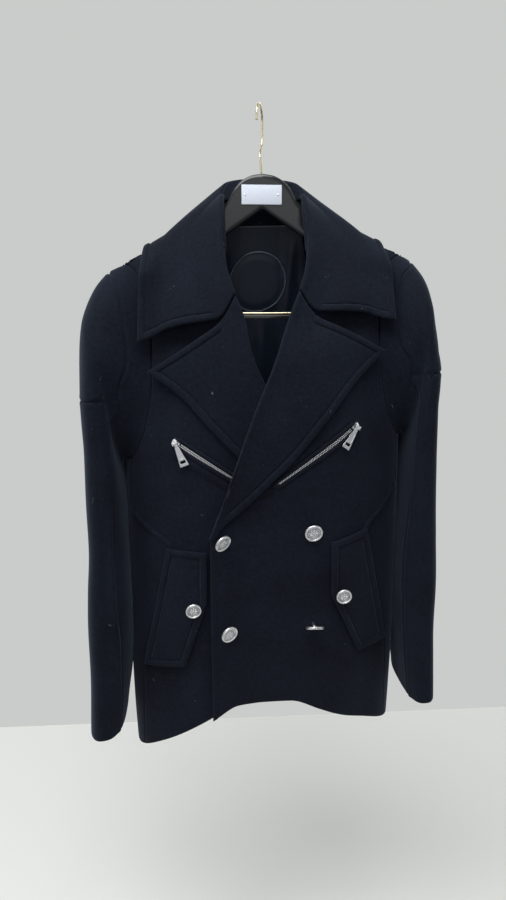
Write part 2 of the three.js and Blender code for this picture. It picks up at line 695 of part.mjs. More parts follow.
function lapel(side) {
  const rows = 15;
  const points = [];
  const rollTop = LAPEL_TOP[0];
  const tip = LAPEL_TOP.at(-1);
  for (let i = 0; i <= rows; i++) {
    const w = (i / rows) ** 0.9;
    const z = lerp(ROLL_LINE[0].z, rollTop.z, w);
    const rollX = rollLine(side, z);
    const edge = { x: column(LAPEL_EDGE, "w", "x", w), z: column(LAPEL_EDGE, "w", "z", w) };
    const width = Math.hypot(edge.x - rollX, edge.z - z);
    points.push(
      LEAF_COLUMNS.map((c) => {
        const bend = w ** 7;
        const topX = column(LAPEL_TOP, "c", "x", c) - lerp(rollTop.x, tip.x, c);
        const topZ = column(LAPEL_TOP, "c", "z", c) - lerp(rollTop.z, tip.z, c);
        const x = lerp(rollX, edge.x, c) + bend * topX;
        const pz = lerp(z, edge.z, c) + bend * topZ;
        const shown = side > 0 ? 1 : smooth(-380, -335, z);
        const roll = shown * ROLL_BUMP * Math.exp(-((c * width) ** 2) / ROLL_SPREAD);
        const border = width > 3 * BAND ? band((1 - c) * width) : 0;
        const rest = lerp(SEWN_REST, LEAF_REST, smooth(0, 0.2, c));
        return onFront(x, pz, frontLift(side, x, pz) + rest + roll + border);
      }),
    );
  }
  return points;
}

const COLLAR_STATIONS = [
  0, 0.05, 0.15, 0.3, 0.6, 1, 1.4, 1.8, 2.2, 2.5, 2.8, 3, 3.25, 3.6, 4, 4.5, 5, 5.5, 6,
];
const STATION_LENGTH = 45; // along the collar's edge near its front end
function collarHalf() {
  const first = COLLAR[0];
  return COLLAR_STATIONS.map((s) => {
    const at = (name) => column(COLLAR, "s", name, s);
    const laid = 1 - smooth(1.1, 2.7, s);
    const bend = (1 - s / 6) ** 12;
    return LEAF_COLUMNS.map((c) => {
      const endX = column(COLLAR_END, "c", "x", c) - lerp(first.fx, first.ex, c);
      const endZ = column(COLLAR_END, "c", "z", c) - lerp(first.fz, first.ez, c);
      const x = lerp(at("fx"), at("ex"), c) + bend * endX;
      const z = lerp(at("fz"), at("ez"), c) + bend * endZ;
      const width = Math.hypot(at("ex") - at("fx"), at("ez") - at("fz"), at("ey") - at("fy"));
      const roll = ROLL_BUMP * Math.exp(-((c * width) ** 2) / ROLL_SPREAD);
      const border = Math.max(band((1 - c) * width), c > 0.2 ? band(s * STATION_LENGTH) : 0);
      const free = new THREE.Vector3(x, lerp(at("fy"), at("ey"), c), z);
      const bulge = COLLAR_BULGE * Math.sin(Math.PI * Math.min(c * 1.15, 1)) * (1 - laid);
      free.z += bulge;
      const lying = z < shoulderHeight(x) ? onFront(x, z, LEAF_REST + roll + border) : free;
      const p = drape(free.lerp(lying, laid), LEAF_REST + 2 + border);
      p.y -= COLLAR_OVER_SLEEVE * smooth(135, 168, x) * (1 - smooth(1.8, 3.2, s));
      return p;
    });
  });
}
// The left half of a strip round the neck, and its mirror image on the right.
function withMirror(half) {
  const other = half.slice(0, -1).reverse();
  return [...half, ...other.map((row) => row.map((p) => new THREE.Vector3(-p.x, p.y, p.z)))];
}

// The stand carries the collar: from the neck seam up to just under the fold.
function collarStand() {
  const stations = [1.6, 2, 2.5, 3, 3.5, 4, 4.5, 5, 5.5, 6];
  const half = stations.map((s) => {
    const at = (name) => column(COLLAR, "s", name, s);
    const fold = new THREE.Vector3(at("fx"), at("fy"), at("fz"));
    const along = clamp((s - 3) / 3, 0, 1);
    const x = s < 3 ? fold.x : NECK_SIDE * Math.cos((along * Math.PI) / 2);
    const before = frontPoint(fold.x + 2, Math.min(fold.z - 10, -135));
    const seat = s < 3 ? before : shoulderPoint(x, neckAngle(x));
    return [0, 0.35, 0.7, 1].map((t) => {
      const p = seat.clone().lerp(fold, 0.06 + 0.82 * t);
      const inwards = new THREE.Vector3(-p.x, s < 3 ? 0 : -p.y, 0).normalize();
      return p.addScaledVector(inwards, lerp(6, LEAF + 5.5, t));
    });
  });
  return withMirror(half);
}

function flap(side, hand) {
  const bottomInner = FLAP.bottomInner[hand];
  const along = [0, 0.04, 0.09, 0.25, 0.42, 0.57, 0.7, 0.85, 0.95, 1];
  const across = [0, 0.1, 0.2, 0.4, 0.6, 0.8, 0.9, 1];
  const corner = 1 - FLAP.innerCorner;
  return along.map((v) => {
    const outer = [0, 1].map((i) => lerp(FLAP.bottomOuter[i], FLAP.topOuter[i], v));
    const cornerZ = lerp(FLAP.topInner[1], bottomInner[1], FLAP.innerCorner);
    const middle = [FLAP.innerCornerX, cornerZ];
    const [from, to] = v < corner ? [bottomInner, middle] : [middle, FLAP.topInner];
    const part = v < corner ? v / corner : (v - corner) / (1 - corner);
    const inner = [lerp(from[0], to[0], part), lerp(from[1], to[1], part)];
    const width = outer[0] - inner[0];
    return across.map((u) => {
      const x = lerp(inner[0], outer[0], u);
      const z = lerp(inner[1], outer[1], u);
      const edge = Math.min(u * width, (1 - u) * width, v * FLAP_LENGTH, (1 - v) * FLAP_LENGTH);
      const loose = FLAP_LOOSE * (1 - u) * Math.sin(Math.PI * clamp(1.15 - v, 0, 1));
      const rest = lerp(LEAF_REST, SEWN_REST, smooth(0.6, 0.95, u));
      return onFront(x, z, frontLift(side, x, z) + rest + band(edge) + loose);
    });
  });
}

for (const { side, hand } of HANDS) {
  add("lapel_" + hand, wall(onSide(side, lapel(side)), LEAF), melton);
  add("flap_" + hand, wall(onSide(side, flap(side, hand)), LEAF), melton);
}
add("collar", wall(withMirror(collarHalf()), LEAF), melton);
add("collar_stand", wall(collarStand(), CLOTH), melton);

// ---------- sleeves ----------
// Columns run round the sleeve from the top, down the front, under the arm and up the back.
const UNDERARM_COLUMNS = [1, 2, 3];
function sleeveColumns() {
  const front = ARM_ANGLES.toReversed().map((angle) => ({
    theta: column(SLEEVE_TURN, "angle", "theta", angle),
    seam: shoulderPoint(column(ARMHOLE, "angle", "front", angle), -Math.max(angle, 0.01)),
  }));
  const under = UNDERARM_COLUMNS.map((i) => ({
    theta: lerp(UNDER_START, 360 - UNDER_START, i / SIDE_COLUMNS),
    seam: bodyPoint(lerp(turnAt(seamHalfWidth(UNDERARM), UNDERARM), BACK_SEAM, i / SIDE_COLUMNS), UNDERARM),
  }));
  const back = ARM_ANGLES.slice(0, -1).map((angle) => ({
    theta: 360 - column(SLEEVE_TURN, "angle", "theta", angle),
    seam: shoulderPoint(column(ARMHOLE, "angle", "back", angle), angle),
  }));
  return [...front, ...under, ...back];
}

function sleevePoints(hand) {
  const columns = sleeveColumns();
  return SLEEVE.map((ring) => {
    const outermost = ring.ox - column(SLEEVE_HANGS, "k", hand, ring.k);
    const top = ring.oz + (hand === "right" ? column(SLEEVE_HANGS, "k", "rise", ring.k) : 0);
    const square = 2 / lerp(2, SLEEVE_POWER, smooth(5, 9, ring.k));
    return columns.map(({ theta, seam }) => {
      const c = Math.cos(theta * DEG);
      const across = (1 - c) / 2;
      const drop = lerp(across, smooth(LEVEL_LIMIT, -1, c), ring.level);
      const own = new THREE.Vector3(
        lerp(outermost, ring.ix, (1 - power(c, square)) / 2),
        ring.y - ring.depth * power(Math.sin(theta * DEG), square),
        lerp(top, ring.iz, drop),
      );
      return seam.clone().lerp(own, ring.free);
    });
  });
}
const sleeveGrid = { left: sleevePoints("left"), right: sleevePoints("right") };
const CAP_COLUMN = 6; // the sleeve's two long seams run down these columns
const OUTER_END = sleeveGrid.left[0].length - CAP_COLUMN;
const isOuter = (j) => j < CAP_COLUMN || j >= OUTER_END;
const sleevePieces = [
  { name: "sleeve_cap_", keep: (i, j) => isOuter(j) && i >= CAP_TOP && i < CAP_BOTTOM },
  { name: "sleeve_outer_", keep: (i, j) => isOuter(j) && i >= CAP_BOTTOM },
  { name: "sleeve_under_", keep: (i, j) => i < CAP_TOP || !isOuter(j) },
];

// A closed grid's normals, evened out with their neighbours round the ring.
function gridNormals(points) {
  const cols = points[0].length;
  const raw = points.map((row, i) =>
    row.map((p, j) => {
      const next = points[Math.min(i + 1, points.length - 1)][j];
      const up = next.clone().sub(points[Math.max(i - 1, 0)][j]);
      const along = row[(j + 1) % cols].clone().sub(row[(j + cols - 1) % cols]);
      return along.cross(up).normalize();
    }),
  );
  const evened = (row, j) => row[j].clone().add(row[(j + 1) % cols]).add(row[(j + cols - 1) % cols]);
  return raw.map((row) => row.map((_, j) => evened(row, j).normalize()));
}
// At the armhole the sleeve's inner face keeps to its own side of the seam.
const SLEEVE_REACH = { first: 2 * GAP, rows: 1.8 * GAP, sides: 1.6 * GAP, last: 0 };
const ARMHOLE_MIDDLE = new THREE.Vector3(180, -22, -335);
function mitred(normals, seam) {
  const cols = seam.length;
  const first = normals[0].map((normal, j) => {
    const along = seam[(j + 1) % cols].clone().sub(seam[(j + cols - 1) % cols]);
    const inwards = formNormal(seam[j]).cross(along).normalize();
    if (inwards.dot(ARMHOLE_MIDDLE.clone().sub(seam[j])) < 0) inwards.negate();
    const over = Math.max(normal.dot(inwards), 0);
    return normal.clone().addScaledVector(inwards, -over).normalize();
  });
  return [first, ...normals.slice(1)];
}
for (const { side, hand } of HANDS) {
  for (const { name, keep } of sleevePieces) {
    const grid = sleeveGrid[hand];
    const cols = grid[0].length;
    const points = onSide(side, inset(grid, { closed: true, keep, reach: SLEEVE_REACH }));
    const normals = onSide(side, mitred(gridNormals(grid), grid[0]));
    const kept = side > 0 ? keep : (i, j) => keep(i, (2 * cols - 2 - j) % cols);
    add(name + hand, wall(points, CLOTH, { closed: true, keep: kept, normals }), melton);
  }
}

// ---------- lining ----------
const insideBack = (x, z, lift) => {
  const p = z < UNDERARM ? bodyPoint(180 - turnAt(x, z), z) : shoulderPoint(x, shoulderAngle(x, z));
  return p.addScaledVector(formNormal(p), -(LINING_REST + lift));
};
const LINING_COLUMNS = 10;
const LINING_ROWS = 9;
function liningBack() {
  const points = [];
  for (let i = 0; i <= LINING_ROWS; i++) {
    points.push([]);
    for (let j = 0; j <= LINING_COLUMNS; j++) {
      const x = LINING_HALF * ((2 * j) / LINING_COLUMNS - 1);
      const behind = shoulderPoint(x, LINING_TOP * smooth(45, 75, Math.abs(x)));
      const top = Math.min(behind.z, FACING_BOTTOM);
      points[i].push(insideBack(x, lerp(LINING_DROP, top, i / LINING_ROWS), 0));
    }
  }
  return points;
}
add("lining_back", wall(liningBack(), SATIN), satin);

// A square grid bent into a disc, with a raised cord round its edge.
const PATCH_STATIONS = [-1, -0.95, -0.86, -0.6, -0.3, 0, 0.3, 0.6, 0.86, 0.95, 1];
const patchPoints = PATCH_STATIONS.map((b) =>
  PATCH_STATIONS.map((a) => {
    const u = a * Math.sqrt(1 - (b * b) / 2);
    const v = b * Math.sqrt(1 - (a * a) / 2);
    const rim = PATCH.rim * smooth(0.88, 0.94, Math.hypot(u, v));
    const lift = PATCH.rest + PATCH.thick + rim;
    return insideBack(PATCH.x + PATCH.radius * u, PATCH.z + PATCH.radius * v, lift);
  }),
);
add("lining_patch", wall(patchPoints, PATCH.thick), satin);

// ---------- hanger ----------
const ARM_SIDES = 14;
const ARM_SQUARENESS = 2.2;
// A closed solid through rings of points, with both ends capped.
function loft(rings) {
  const n = rings[0].length;
  const triangles = [];
  for (let i = 0; i < rings.length - 1; i++) {
    for (let j = 0; j < n; j++) {
      const a = i * n + j;
      const b = i * n + ((j + 1) % n);
      triangles.push(a, b, b + n, a, b + n, a + n);
    }
  }
  const last = (rings.length - 1) * n;
  for (let j = 1; j < n - 1; j++) triangles.push(0, j + 1, j, last, last + j, last + j + 1);
  const all = rings.flat().map(hang);
  return new THREE.BufferGeometry()
    .setAttribute("position", new THREE.Float32BufferAttribute(all.flatMap((p) => p.toArray()), 3))
    .setIndex(triangles);
}
// The hanger's arms follow the shoulder from inside.
const armTop = (x) => shoulderHeight(x) - CLOTH - ARM_CLEARANCE;
const hangerHalf = [
  ...HANGER,
  ...ARM.map((row) => ({ ...row, top: armTop(row.x) })),
];
const hangerRings = [
  ...hangerHalf.toReversed().map((row) => ({ ...row, x: -row.x })),
  ...hangerHalf.slice(1),
].map(({ x, top, height, half }) =>
  Array.from({ length: ARM_SIDES }, (_, j) => {
    const turn = (2 * Math.PI * j) / ARM_SIDES;
    const e = 2 / ARM_SQUARENESS;
    const y = ridgeDepth(x) + half * power(Math.cos(turn), e);
    return new THREE.Vector3(x, y, top - height / 2 + (height / 2) * power(Math.sin(turn), e));
  }),
);
add("hanger", loft(hangerRings), lacquer);

// A round wire along a curve.
function wire(curve, diameter, steps, sides = 8) {
  const outline = Array.from({ length: sides }, (_, i) => {
    const turn = (2 * Math.PI * i) / sides;
    return new THREE.Vector2((diameter / 2) * Math.cos(turn), (diameter / 2) * Math.sin(turn));
  });
  const options = { steps, extrudePath: curve, bevelEnabled: false };
  return new THREE.ExtrudeGeometry(new THREE.Shape(outline), options);
}
// The hook in its own plane: out along the swivelled direction, and up.
const hookRadius = HOOK_RADIUS + HOOK_WIRE / 2;
const hookArc = [190, 160, 130, 100, 70, 40, 15, -8].map((degrees) => ({
  out: hookRadius * Math.cos(degrees * DEG),
  up: -HOOK_RADIUS + hookRadius * Math.sin(degrees * DEG),
}));
const hookStem = [
  { out: 21, up: -36 },
  { out: 17, up: -48 },
  { out: 7, up: -57 },
  { out: 1, up: -66 },
  { out: 0, up: -78 },
  { out: 0, up: HANGER[0].top + GAP },
];
const hookPath = [...hookArc, ...hookStem].map(({ out, up }) => {
  const sideways = 2.5 * smooth(-60, -86, up);
  return new THREE.Vector3(
    out * Math.cos(HOOK_SWIVEL * DEG) + sideways,
    out * Math.sin(HOOK_SWIVEL * DEG) + ridgeDepth(0) * smooth(-50, -70, up),
    up,
  );
});
add("hanger_hook", wire(new THREE.CatmullRomCurve3(hookPath), HOOK_WIRE, 32), gold);

const barDepth = ridgeDepth(BAR_HALF);
const barTop = (x) => {
  const bottom = armTop(x) - column(ARM, "x", "height", BAR_HALF);
  return hang(new THREE.Vector3(x, barDepth, bottom)).z - GAP;
};
const barPath = new THREE.CurvePath();
const barPoint = (x, z) => new THREE.Vector3(x + SHIFT, barDepth, z);
// One end of the bar: down from the hanger's arm and round the bend.
function barEnd(side) {
  const top = barPoint(side * BAR_HALF, barTop(side * BAR_HALF));
  const bendTop = barPoint(side * BAR_HALF, BAR_HEIGHT + BAR_BEND);
  const corner = barPoint(side * BAR_HALF, BAR_HEIGHT);
  const bendEnd = barPoint(side * (BAR_HALF - BAR_BEND), BAR_HEIGHT);
  return { top, bendTop, corner, bendEnd };
}
const from = barEnd(-1);
const to = barEnd(1);
barPath.add(new THREE.LineCurve3(from.top, from.bendTop));
barPath.add(new THREE.QuadraticBezierCurve3(from.bendTop, from.corner, from.bendEnd));
barPath.add(new THREE.LineCurve3(from.bendEnd, to.bendEnd));
barPath.add(new THREE.QuadraticBezierCurve3(to.bendEnd, to.corner, to.bendTop));
barPath.add(new THREE.LineCurve3(to.bendTop, to.top));
add("hanger_bar", wire(barPath, BAR_WIRE, 30, 6), gold);

const clampBar = new THREE.BoxGeometry(2 * CLAMP_BAR.half, CLAMP_BAR.width, CLAMP_BAR.height);
clampBar.translate(SHIFT, barDepth, BAR_HEIGHT - BAR_WIRE / 2 - GAP - CLAMP_BAR.height / 2);
add("hanger_clamp_bar", clampBar, lacquer);
const plate = new THREE.BoxGeometry(PLATE.width, PLATE.thick, PLATE.height);
plate.translate(PLATE.x, ridgeDepth(0) - HANGER[0].half - GAP - PLATE.thick / 2, PLATE.z);
add("hanger_plate", plate, card);

// ---------- zips and buttons ----------
// A place on the outside of the coat, after it has been hung.
function outside(side, x, z, lift) {
  const p = onFront(x, z, frontLift(side, x, z) + lift);
  return hang(new THREE.Vector3(side * p.x, p.y, p.z));
}
// A frame on the cloth: x towards a second place, z straight out of the cloth.
function seat(side, x, z, lift, towards) {
  const at = (px, pz) => outside(side, px, pz, lift);
  const origin = at(x, z);
  const across = at(x + 2, z).sub(at(x - 2, z));
  const out = across.cross(at(x, z + 2).sub(at(x, z - 2))).multiplyScalar(side).normalize();
  const along = at(...towards).sub(origin);
  along.addScaledVector(out, -along.dot(out)).normalize();
  return new THREE.Matrix4().makeBasis(along, out.clone().cross(along), out).setPosition(origin);
}

const solid = (geometry) => {
  const bare = geometry.clone();
  bare.deleteAttribute("normal");
  bare.deleteAttribute("uv");
  const merged = mergeVertices(bare, 1e-4);
  return new wasm.Manifold(
    new wasm.Mesh({
      numProp: 3,
      vertProperties: merged.attributes.position.array,
      triVerts: new Uint32Array(merged.index.array),
    }),
  );
};
// Joins closed pieces into one.
function join(pieces) {
  const mesh = pieces.map(solid).reduce((all, piece) => all.add(piece)).getMesh();
  return new THREE.BufferGeometry()
    .setAttribute("position", new THREE.BufferAttribute(mesh.vertProperties, mesh.numProp))
    .setIndex(new THREE.BufferAttribute(mesh.triVerts, 1));
}

// The teeth start this far from the slider's middle.
const SLIDER_ROOM = SLIDER.length / 2 + 1.5 * GAP;
const STRIP_STEPS = 10;
const LOOK_AHEAD = 0.05; // share of the zip over which its direction is measured
for (const { side, hand, slider, end, swing } of ZIPS) {
  const length = Math.hypot(end[0] - slider[0], end[1] - slider[1]);
  const across = [(end[1] - slider[1]) / length, (slider[0] - end[0]) / length];
  const start = outside(side, ...slider, ZIP_REST);
  const along = (t) => [lerp(slider[0], end[0], t), lerp(slider[1], end[1], t)];
  const ahead = outside(side, ...along(LOOK_AHEAD), ZIP_REST);
  const first = (LOOK_AHEAD * SLIDER_ROOM) / start.distanceTo(ahead);
  const strip = [];
  for (let i = 0; i <= STRIP_STEPS; i++) {
    const t = lerp(first, 1, i / STRIP_STEPS);
    strip.push(
      [-0.5, 0, 0.5].map((w) => {
        const x = along(t)[0] + w * ZIP_WIDTH * across[0];
        const z = along(t)[1] + w * ZIP_WIDTH * across[1];
        return onFront(x, z, frontLift(side, x, z) + ZIP_REST + ZIP_HEIGHT);
      }),
    );
  }
  add("zip_" + hand, wall(onSide(side, strip), ZIP_HEIGHT), nickel);

  const body = new THREE.BoxGeometry(SLIDER.length, SLIDER.width, SLIDER.height);
  body.translate(0, 0, SLIDER.height / 2).applyMatrix4(seat(side, ...slider, ZIP_REST, end));
  const foot = [
    slider[0] - Math.sin(swing * DEG) * PULL.length,
    slider[1] - Math.cos(swing * DEG) * PULL.length,
  ];
  const hanging = seat(side, ...slider, ZIP_REST, foot);
  const earHeight = SLIDER.earTop - SLIDER.height + 1;
  const ears = [-1, 1].map((s) =>
    new THREE.BoxGeometry(SLIDER.earLength, SLIDER.ear, earHeight)
      .translate(0, s * SLIDER.earOffset, SLIDER.earTop - earHeight / 2)
      .applyMatrix4(hanging),
  );
  const pin = new THREE.CylinderGeometry(SLIDER.pin, SLIDER.pin, 2 * SLIDER.earOffset, 8);
  pin.translate(0, 0, SLIDER.pinHeight).applyMatrix4(hanging);
  add("zip_slider_" + hand, join([body, ...ears, pin]), nickel);

  // The pull lies in its own frame with the pin along y and its plate along x.
  const eye = new THREE.Shape().absarc(0, 0, PULL.eye, 0, 2 * Math.PI);
  eye.holes.push(new THREE.Path().absarc(0, 0, PULL.hole, 0, 2 * Math.PI, true));
  const depth = PULL.eyeWidth;
  const ring = new THREE.ExtrudeGeometry(eye, { depth, bevelEnabled: false, curveSegments: 6 });
  ring.translate(0, 0, -PULL.eyeWidth / 2).rotateX(Math.PI / 2);
  const tabStart = (PULL.eye + PULL.hole) / 2;
  const outline = new THREE.Shape([
    new THREE.Vector2(tabStart, -PULL.eyeWidth / 2),
    new THREE.Vector2(PULL.neck, -PULL.eyeWidth / 2),
    new THREE.Vector2(PULL.neck, -PULL.shoulder / 2),
    new THREE.Vector2(PULL.length, -PULL.foot / 2),
    new THREE.Vector2(PULL.length, PULL.foot / 2),
    new THREE.Vector2(PULL.neck, PULL.shoulder / 2),
    new THREE.Vector2(PULL.neck, PULL.eyeWidth / 2),
    new THREE.Vector2(tabStart, PULL.eyeWidth / 2),
  ]);
  outline.holes.push(
    new THREE.Path([
      new THREE.Vector2(PULL_SLOT.from, -PULL_SLOT.half),
      new THREE.Vector2(PULL_SLOT.from, PULL_SLOT.half),
      new THREE.Vector2(PULL_SLOT.to, PULL_SLOT.half),
      new THREE.Vector2(PULL_SLOT.to, -PULL_SLOT.half),
    ]),
  );
  const tab = new THREE.ExtrudeGeometry(outline, { depth: PULL.thick, bevelEnabled: false });
  tab.translate(0, 0, -PULL.thick / 2);
  const rest = new THREE.Matrix4().makeTranslation(0, 0, SLIDER.pinHeight).multiply(
    new THREE.Matrix4().makeRotationY(PULL_TILT * DEG),
  );
  add("zip_pull_" + hand, join([ring, tab]).applyMatrix4(rest).applyMatrix4(hanging), nickel);
}

const BUTTON_SEGMENTS = 18;
for (const { name, side, x, z, size, droop, turn, flap: onFlap } of BUTTONS) {
  const lift = GAP + (onFlap ? LEAF_REST + FLAP_LOOSE : 0);
  const ground = seat(side, x, z, lift, [x, z - 10]);
  const out = new THREE.Vector3().setFromMatrixColumn(ground, 2);
  const foot = new THREE.Vector3().setFromMatrixPosition(ground);
  const face = new THREE.Vector3(
    Math.sin(turn * DEG) * Math.cos(droop * DEG),
    -Math.cos(turn * DEG) * Math.cos(droop * DEG),
    -Math.sin(droop * DEG),
  );
  const height = Math.max(BUTTON_HEIGHT, size * Math.sin(face.angleTo(out)) + 2);
  const profile = [
    [0, -1.6],
    [size - 1.8, -1.6],
    [size, -0.5],
    [size, 1],
    [size - 0.8, 1.8],
    [size - 2.2, 1.8],
    [size - 3.2, 0.8],
    [0, 0.8],
  ].map(([radius, up]) => new THREE.Vector2(radius, up));
  const upright = new THREE.Vector3(0, 1, 0);
  const disc = new THREE.LatheGeometry(profile, BUTTON_SEGMENTS);
  disc.applyQuaternion(new THREE.Quaternion().setFromUnitVectors(upright, face));
  disc.translate(...foot.clone().addScaledVector(out, height));
  const post = new THREE.CylinderGeometry(SHANK, SHANK, height, 8).translate(0, height / 2, 0);
  post.applyQuaternion(new THREE.Quaternion().setFromUnitVectors(upright, out)).translate(...foot);
  add(name, join([disc, post]), nickel);
}

export default garment;
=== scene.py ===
# %% [markdown]
# # A heavy wool coat on its hanger
#
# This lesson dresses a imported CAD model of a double-breasted wool coat. The CAD solids are
# thin cloth walls with few faces. Here every piece is made again with enough faces for soft
# edges, seams and creases, and gets a material with its own weave, nap or polish.
# Lengths in the tables are millimetres. Blender gets metres.

# %% Load the frame
import math
import bmesh
import bpy
import numpy as np
from mathutils import Matrix, Vector


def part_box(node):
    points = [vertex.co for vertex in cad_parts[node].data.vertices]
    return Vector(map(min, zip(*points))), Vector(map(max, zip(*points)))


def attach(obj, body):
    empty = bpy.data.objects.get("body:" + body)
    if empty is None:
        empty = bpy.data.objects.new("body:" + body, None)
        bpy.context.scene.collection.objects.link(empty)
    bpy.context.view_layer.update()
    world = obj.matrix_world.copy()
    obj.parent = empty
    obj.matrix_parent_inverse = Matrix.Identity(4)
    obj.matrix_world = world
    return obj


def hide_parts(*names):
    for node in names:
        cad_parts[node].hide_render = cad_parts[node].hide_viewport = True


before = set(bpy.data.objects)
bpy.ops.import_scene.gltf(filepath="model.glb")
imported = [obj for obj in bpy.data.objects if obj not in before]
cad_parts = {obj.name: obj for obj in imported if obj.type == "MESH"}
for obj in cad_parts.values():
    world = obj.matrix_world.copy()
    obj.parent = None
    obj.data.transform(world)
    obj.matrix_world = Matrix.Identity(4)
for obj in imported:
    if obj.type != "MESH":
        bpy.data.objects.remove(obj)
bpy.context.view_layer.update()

# %% [markdown]
# ## Camera
#
# A camera is two things in Blender: data that holds the lens, and an object that holds the
# place. A constraint could aim it, but plain angles are easier to read and to repeat. It
# stands a little to the coat's right, at the height of its chest, and looks slightly down.

# %% Camera
LENS, SENSOR_WIDTH, NEAREST = 27.6, 36, 0.02  # millimetres, millimetres, metres
CAMERA_PLACE, TILTED_DOWN, TURNED = (-0.080, -1.0169, -0.26505), 12, -4

scene = bpy.context.scene
scene.view_settings.view_transform = "Standard"
camera = bpy.data.objects.new("camera", bpy.data.cameras.new("camera"))
camera.data.lens = LENS
camera.data.sensor_width = SENSOR_WIDTH
camera.data.clip_start = NEAREST
camera.location = CAMERA_PLACE
camera.rotation_euler = (math.radians(90 - TILTED_DOWN), 0, math.radians(TURNED))
scene.collection.objects.link(camera)
scene.camera = camera
print("camera: lens", LENS, "mm, looks down", TILTED_DOWN, "degrees")

# %% [markdown]
# ## Room
#
# The room is only a colour, so it is painted on the world and not built from walls. The wall
# behind the coat is bright and the room in front of it darker, so that the light on the cloth
# comes mostly from the panels and leaves soft shadows under its edges.

# %% Room
WALL, ROOM = "c9ccca", "7f8286"


def linear(hexed):
    """An sRGB colour such as "8899aa" as linear RGBA."""
    parts = [int(hexed[i : i + 2], 16) / 255 for i in (0, 2, 4)]
    return [c / 12.92 if c <= 0.04045 else ((c + 0.055) / 1.055) ** 2.4 for c in parts] + [1]


def node(tree, kind, settings=(), links=(), out=0):
    """Adds a node with its settings and links, both by name or socket, and gives one output."""
    made = tree.nodes.new(kind)
    for key, value in dict(settings).items():
        if isinstance(key, str) and hasattr(made, key):
            setattr(made, key, value)
        else:
            made.inputs[key].default_value = value
    for key, source in dict(links).items():
        tree.links.new(source, made.inputs[key])
    return made.outputs[out]


world = bpy.data.worlds.new("pale room")
world.use_nodes = True
room = world.node_tree
way = node(room, "ShaderNodeTexCoord", out="Generated")
depth = node(room, "ShaderNodeSeparateXYZ", links={0: way}, out="Y")
behind = node(room, "ShaderNodeMapRange", {"From Min": -0.3, "From Max": 0.5}, {"Value": depth})
both = {"data_type": "RGBA", 6: linear(ROOM), 7: linear(WALL)}
colour = node(room, "ShaderNodeMix", both, {0: behind}, out=2)
room.links.new(colour, room.nodes["Background"].inputs["Color"])
scene.world = world
print("room:", len(room.nodes), "nodes")

# %% [markdown]
# ## Floor
#
# The floor is plain matt paint, far below the hem. A plane primitive would do, but a bmesh
# grid shows how every mesh here is started, shaped and turned into an object.

# %% Floor
FLOOR_HALF_WIDTH, FLOOR_HALF_DEPTH, FLOOR_HEIGHT = 2.4, 0.64, -1.35  # metres


def from_bmesh(name, bm, smooth_faces=True):
    """Turns a bmesh into an object of the scene, with faces smooth up to 40 degrees."""
    mesh = bpy.data.meshes.new(name)
    bm.to_mesh(mesh)
    bm.free()
    if smooth_faces:
        mesh.shade_smooth()
        mesh.set_sharp_from_angle(angle=math.radians(40))
    made = bpy.data.objects.new(name, mesh)
    scene.collection.objects.link(made)
    return made


bm = bmesh.new()
bmesh.ops.create_grid(bm, x_segments=1, y_segments=1, size=1)
bmesh.ops.scale(bm, verts=bm.verts, vec=(FLOOR_HALF_WIDTH, FLOOR_HALF_DEPTH, 1))
bmesh.ops.translate(bm, verts=bm.verts, vec=(0, 0, FLOOR_HEIGHT))
floor = from_bmesh("floor", bm, smooth_faces=False)
# Matt wall paint: no highlight, so the floor only returns a little light.
paint = bpy.data.materials.new("pale floor")
paint.use_nodes = True
paint.node_tree.nodes["Principled BSDF"].inputs["Base Color"].default_value = linear("e2e3df")
paint.node_tree.nodes["Principled BSDF"].inputs["Roughness"].default_value = 0.7
floor.data.materials.append(paint)
print("floor:", round(-1000 * FLOOR_HEIGHT), "mm below the hook")

# %% [markdown]
# ## Light
#
# A garment in a pale studio is lit from all round. One lamp would give hard shadows, and a
# picture of a room would bring its own colours, so soft panels are used: a strong one
# overhead, a broad one in front, and weaker ones at the sides and behind.

# %% Lights
CHEST = (0, 0, -0.45)
PANELS = {
    "overhead panel": ((-0.5, -0.9, 1.7), (2.2, 1.4), 60),
    "left panel": ((-2.2, -0.9, 0.4), (1.2, 1.6), 10),
    "front panel": ((-0.3, -2.6, 0.1), (2.4, 2.4), 13),
    "right panel": ((2.2, -0.6, 0.4), (1.2, 1.6), 7),
    "back panel": ((0.3, 2.4, 0.9), (2.4, 1.6), 12),
}
for name, (place, size, watts) in PANELS.items():
    data = bpy.data.lights.new(name, "AREA")
    data.shape = "RECTANGLE"
    data.size, data.size_y = size
    data.energy = watts
    lamp = bpy.data.objects.new(name, data)
    lamp.location = place
    lamp.rotation_euler = (Vector(CHEST) - Vector(place)).to_track_quat("-Z", "Y").to_euler()
    scene.collection.objects.link(lamp)
    print(name, watts, "W")

# %% [markdown]
# ## The coat's form
#
# The coat hangs empty, so its form is simple: below the armholes a rounded box, above them a
# saddle over the hanger. It could be sculpted, but then nothing would line up. Tables give the
# sizes and a smooth curve runs through each column, the same ones that the CAD solids use, so
# every soft piece lies where its solid is.

# %% Curves through tables
CLOTH, LEAF, SATIN = 2.6, 4.4, 1.2  # thickness of one cloth, of a lapel and of the lining
UNDERARM, DEPTH_CENTRE, SHOULDER_POWER = -460, -16, 1.7
NECK_SIDE, NECK_SIDE_HEIGHT, SHOULDER_TIP, SHOULDER_TIP_HEIGHT = 60, -124, 193, -207
SHOULDER_FLATTEN, RIDGE_FORWARD, FRONT_EDGE, UNDER_SPREAD = 0.82, 24, -79, 9
OVERLAP_LIFT, BAND, BAND_LIFT, SHIFT = 11, 9, 1.1, 4


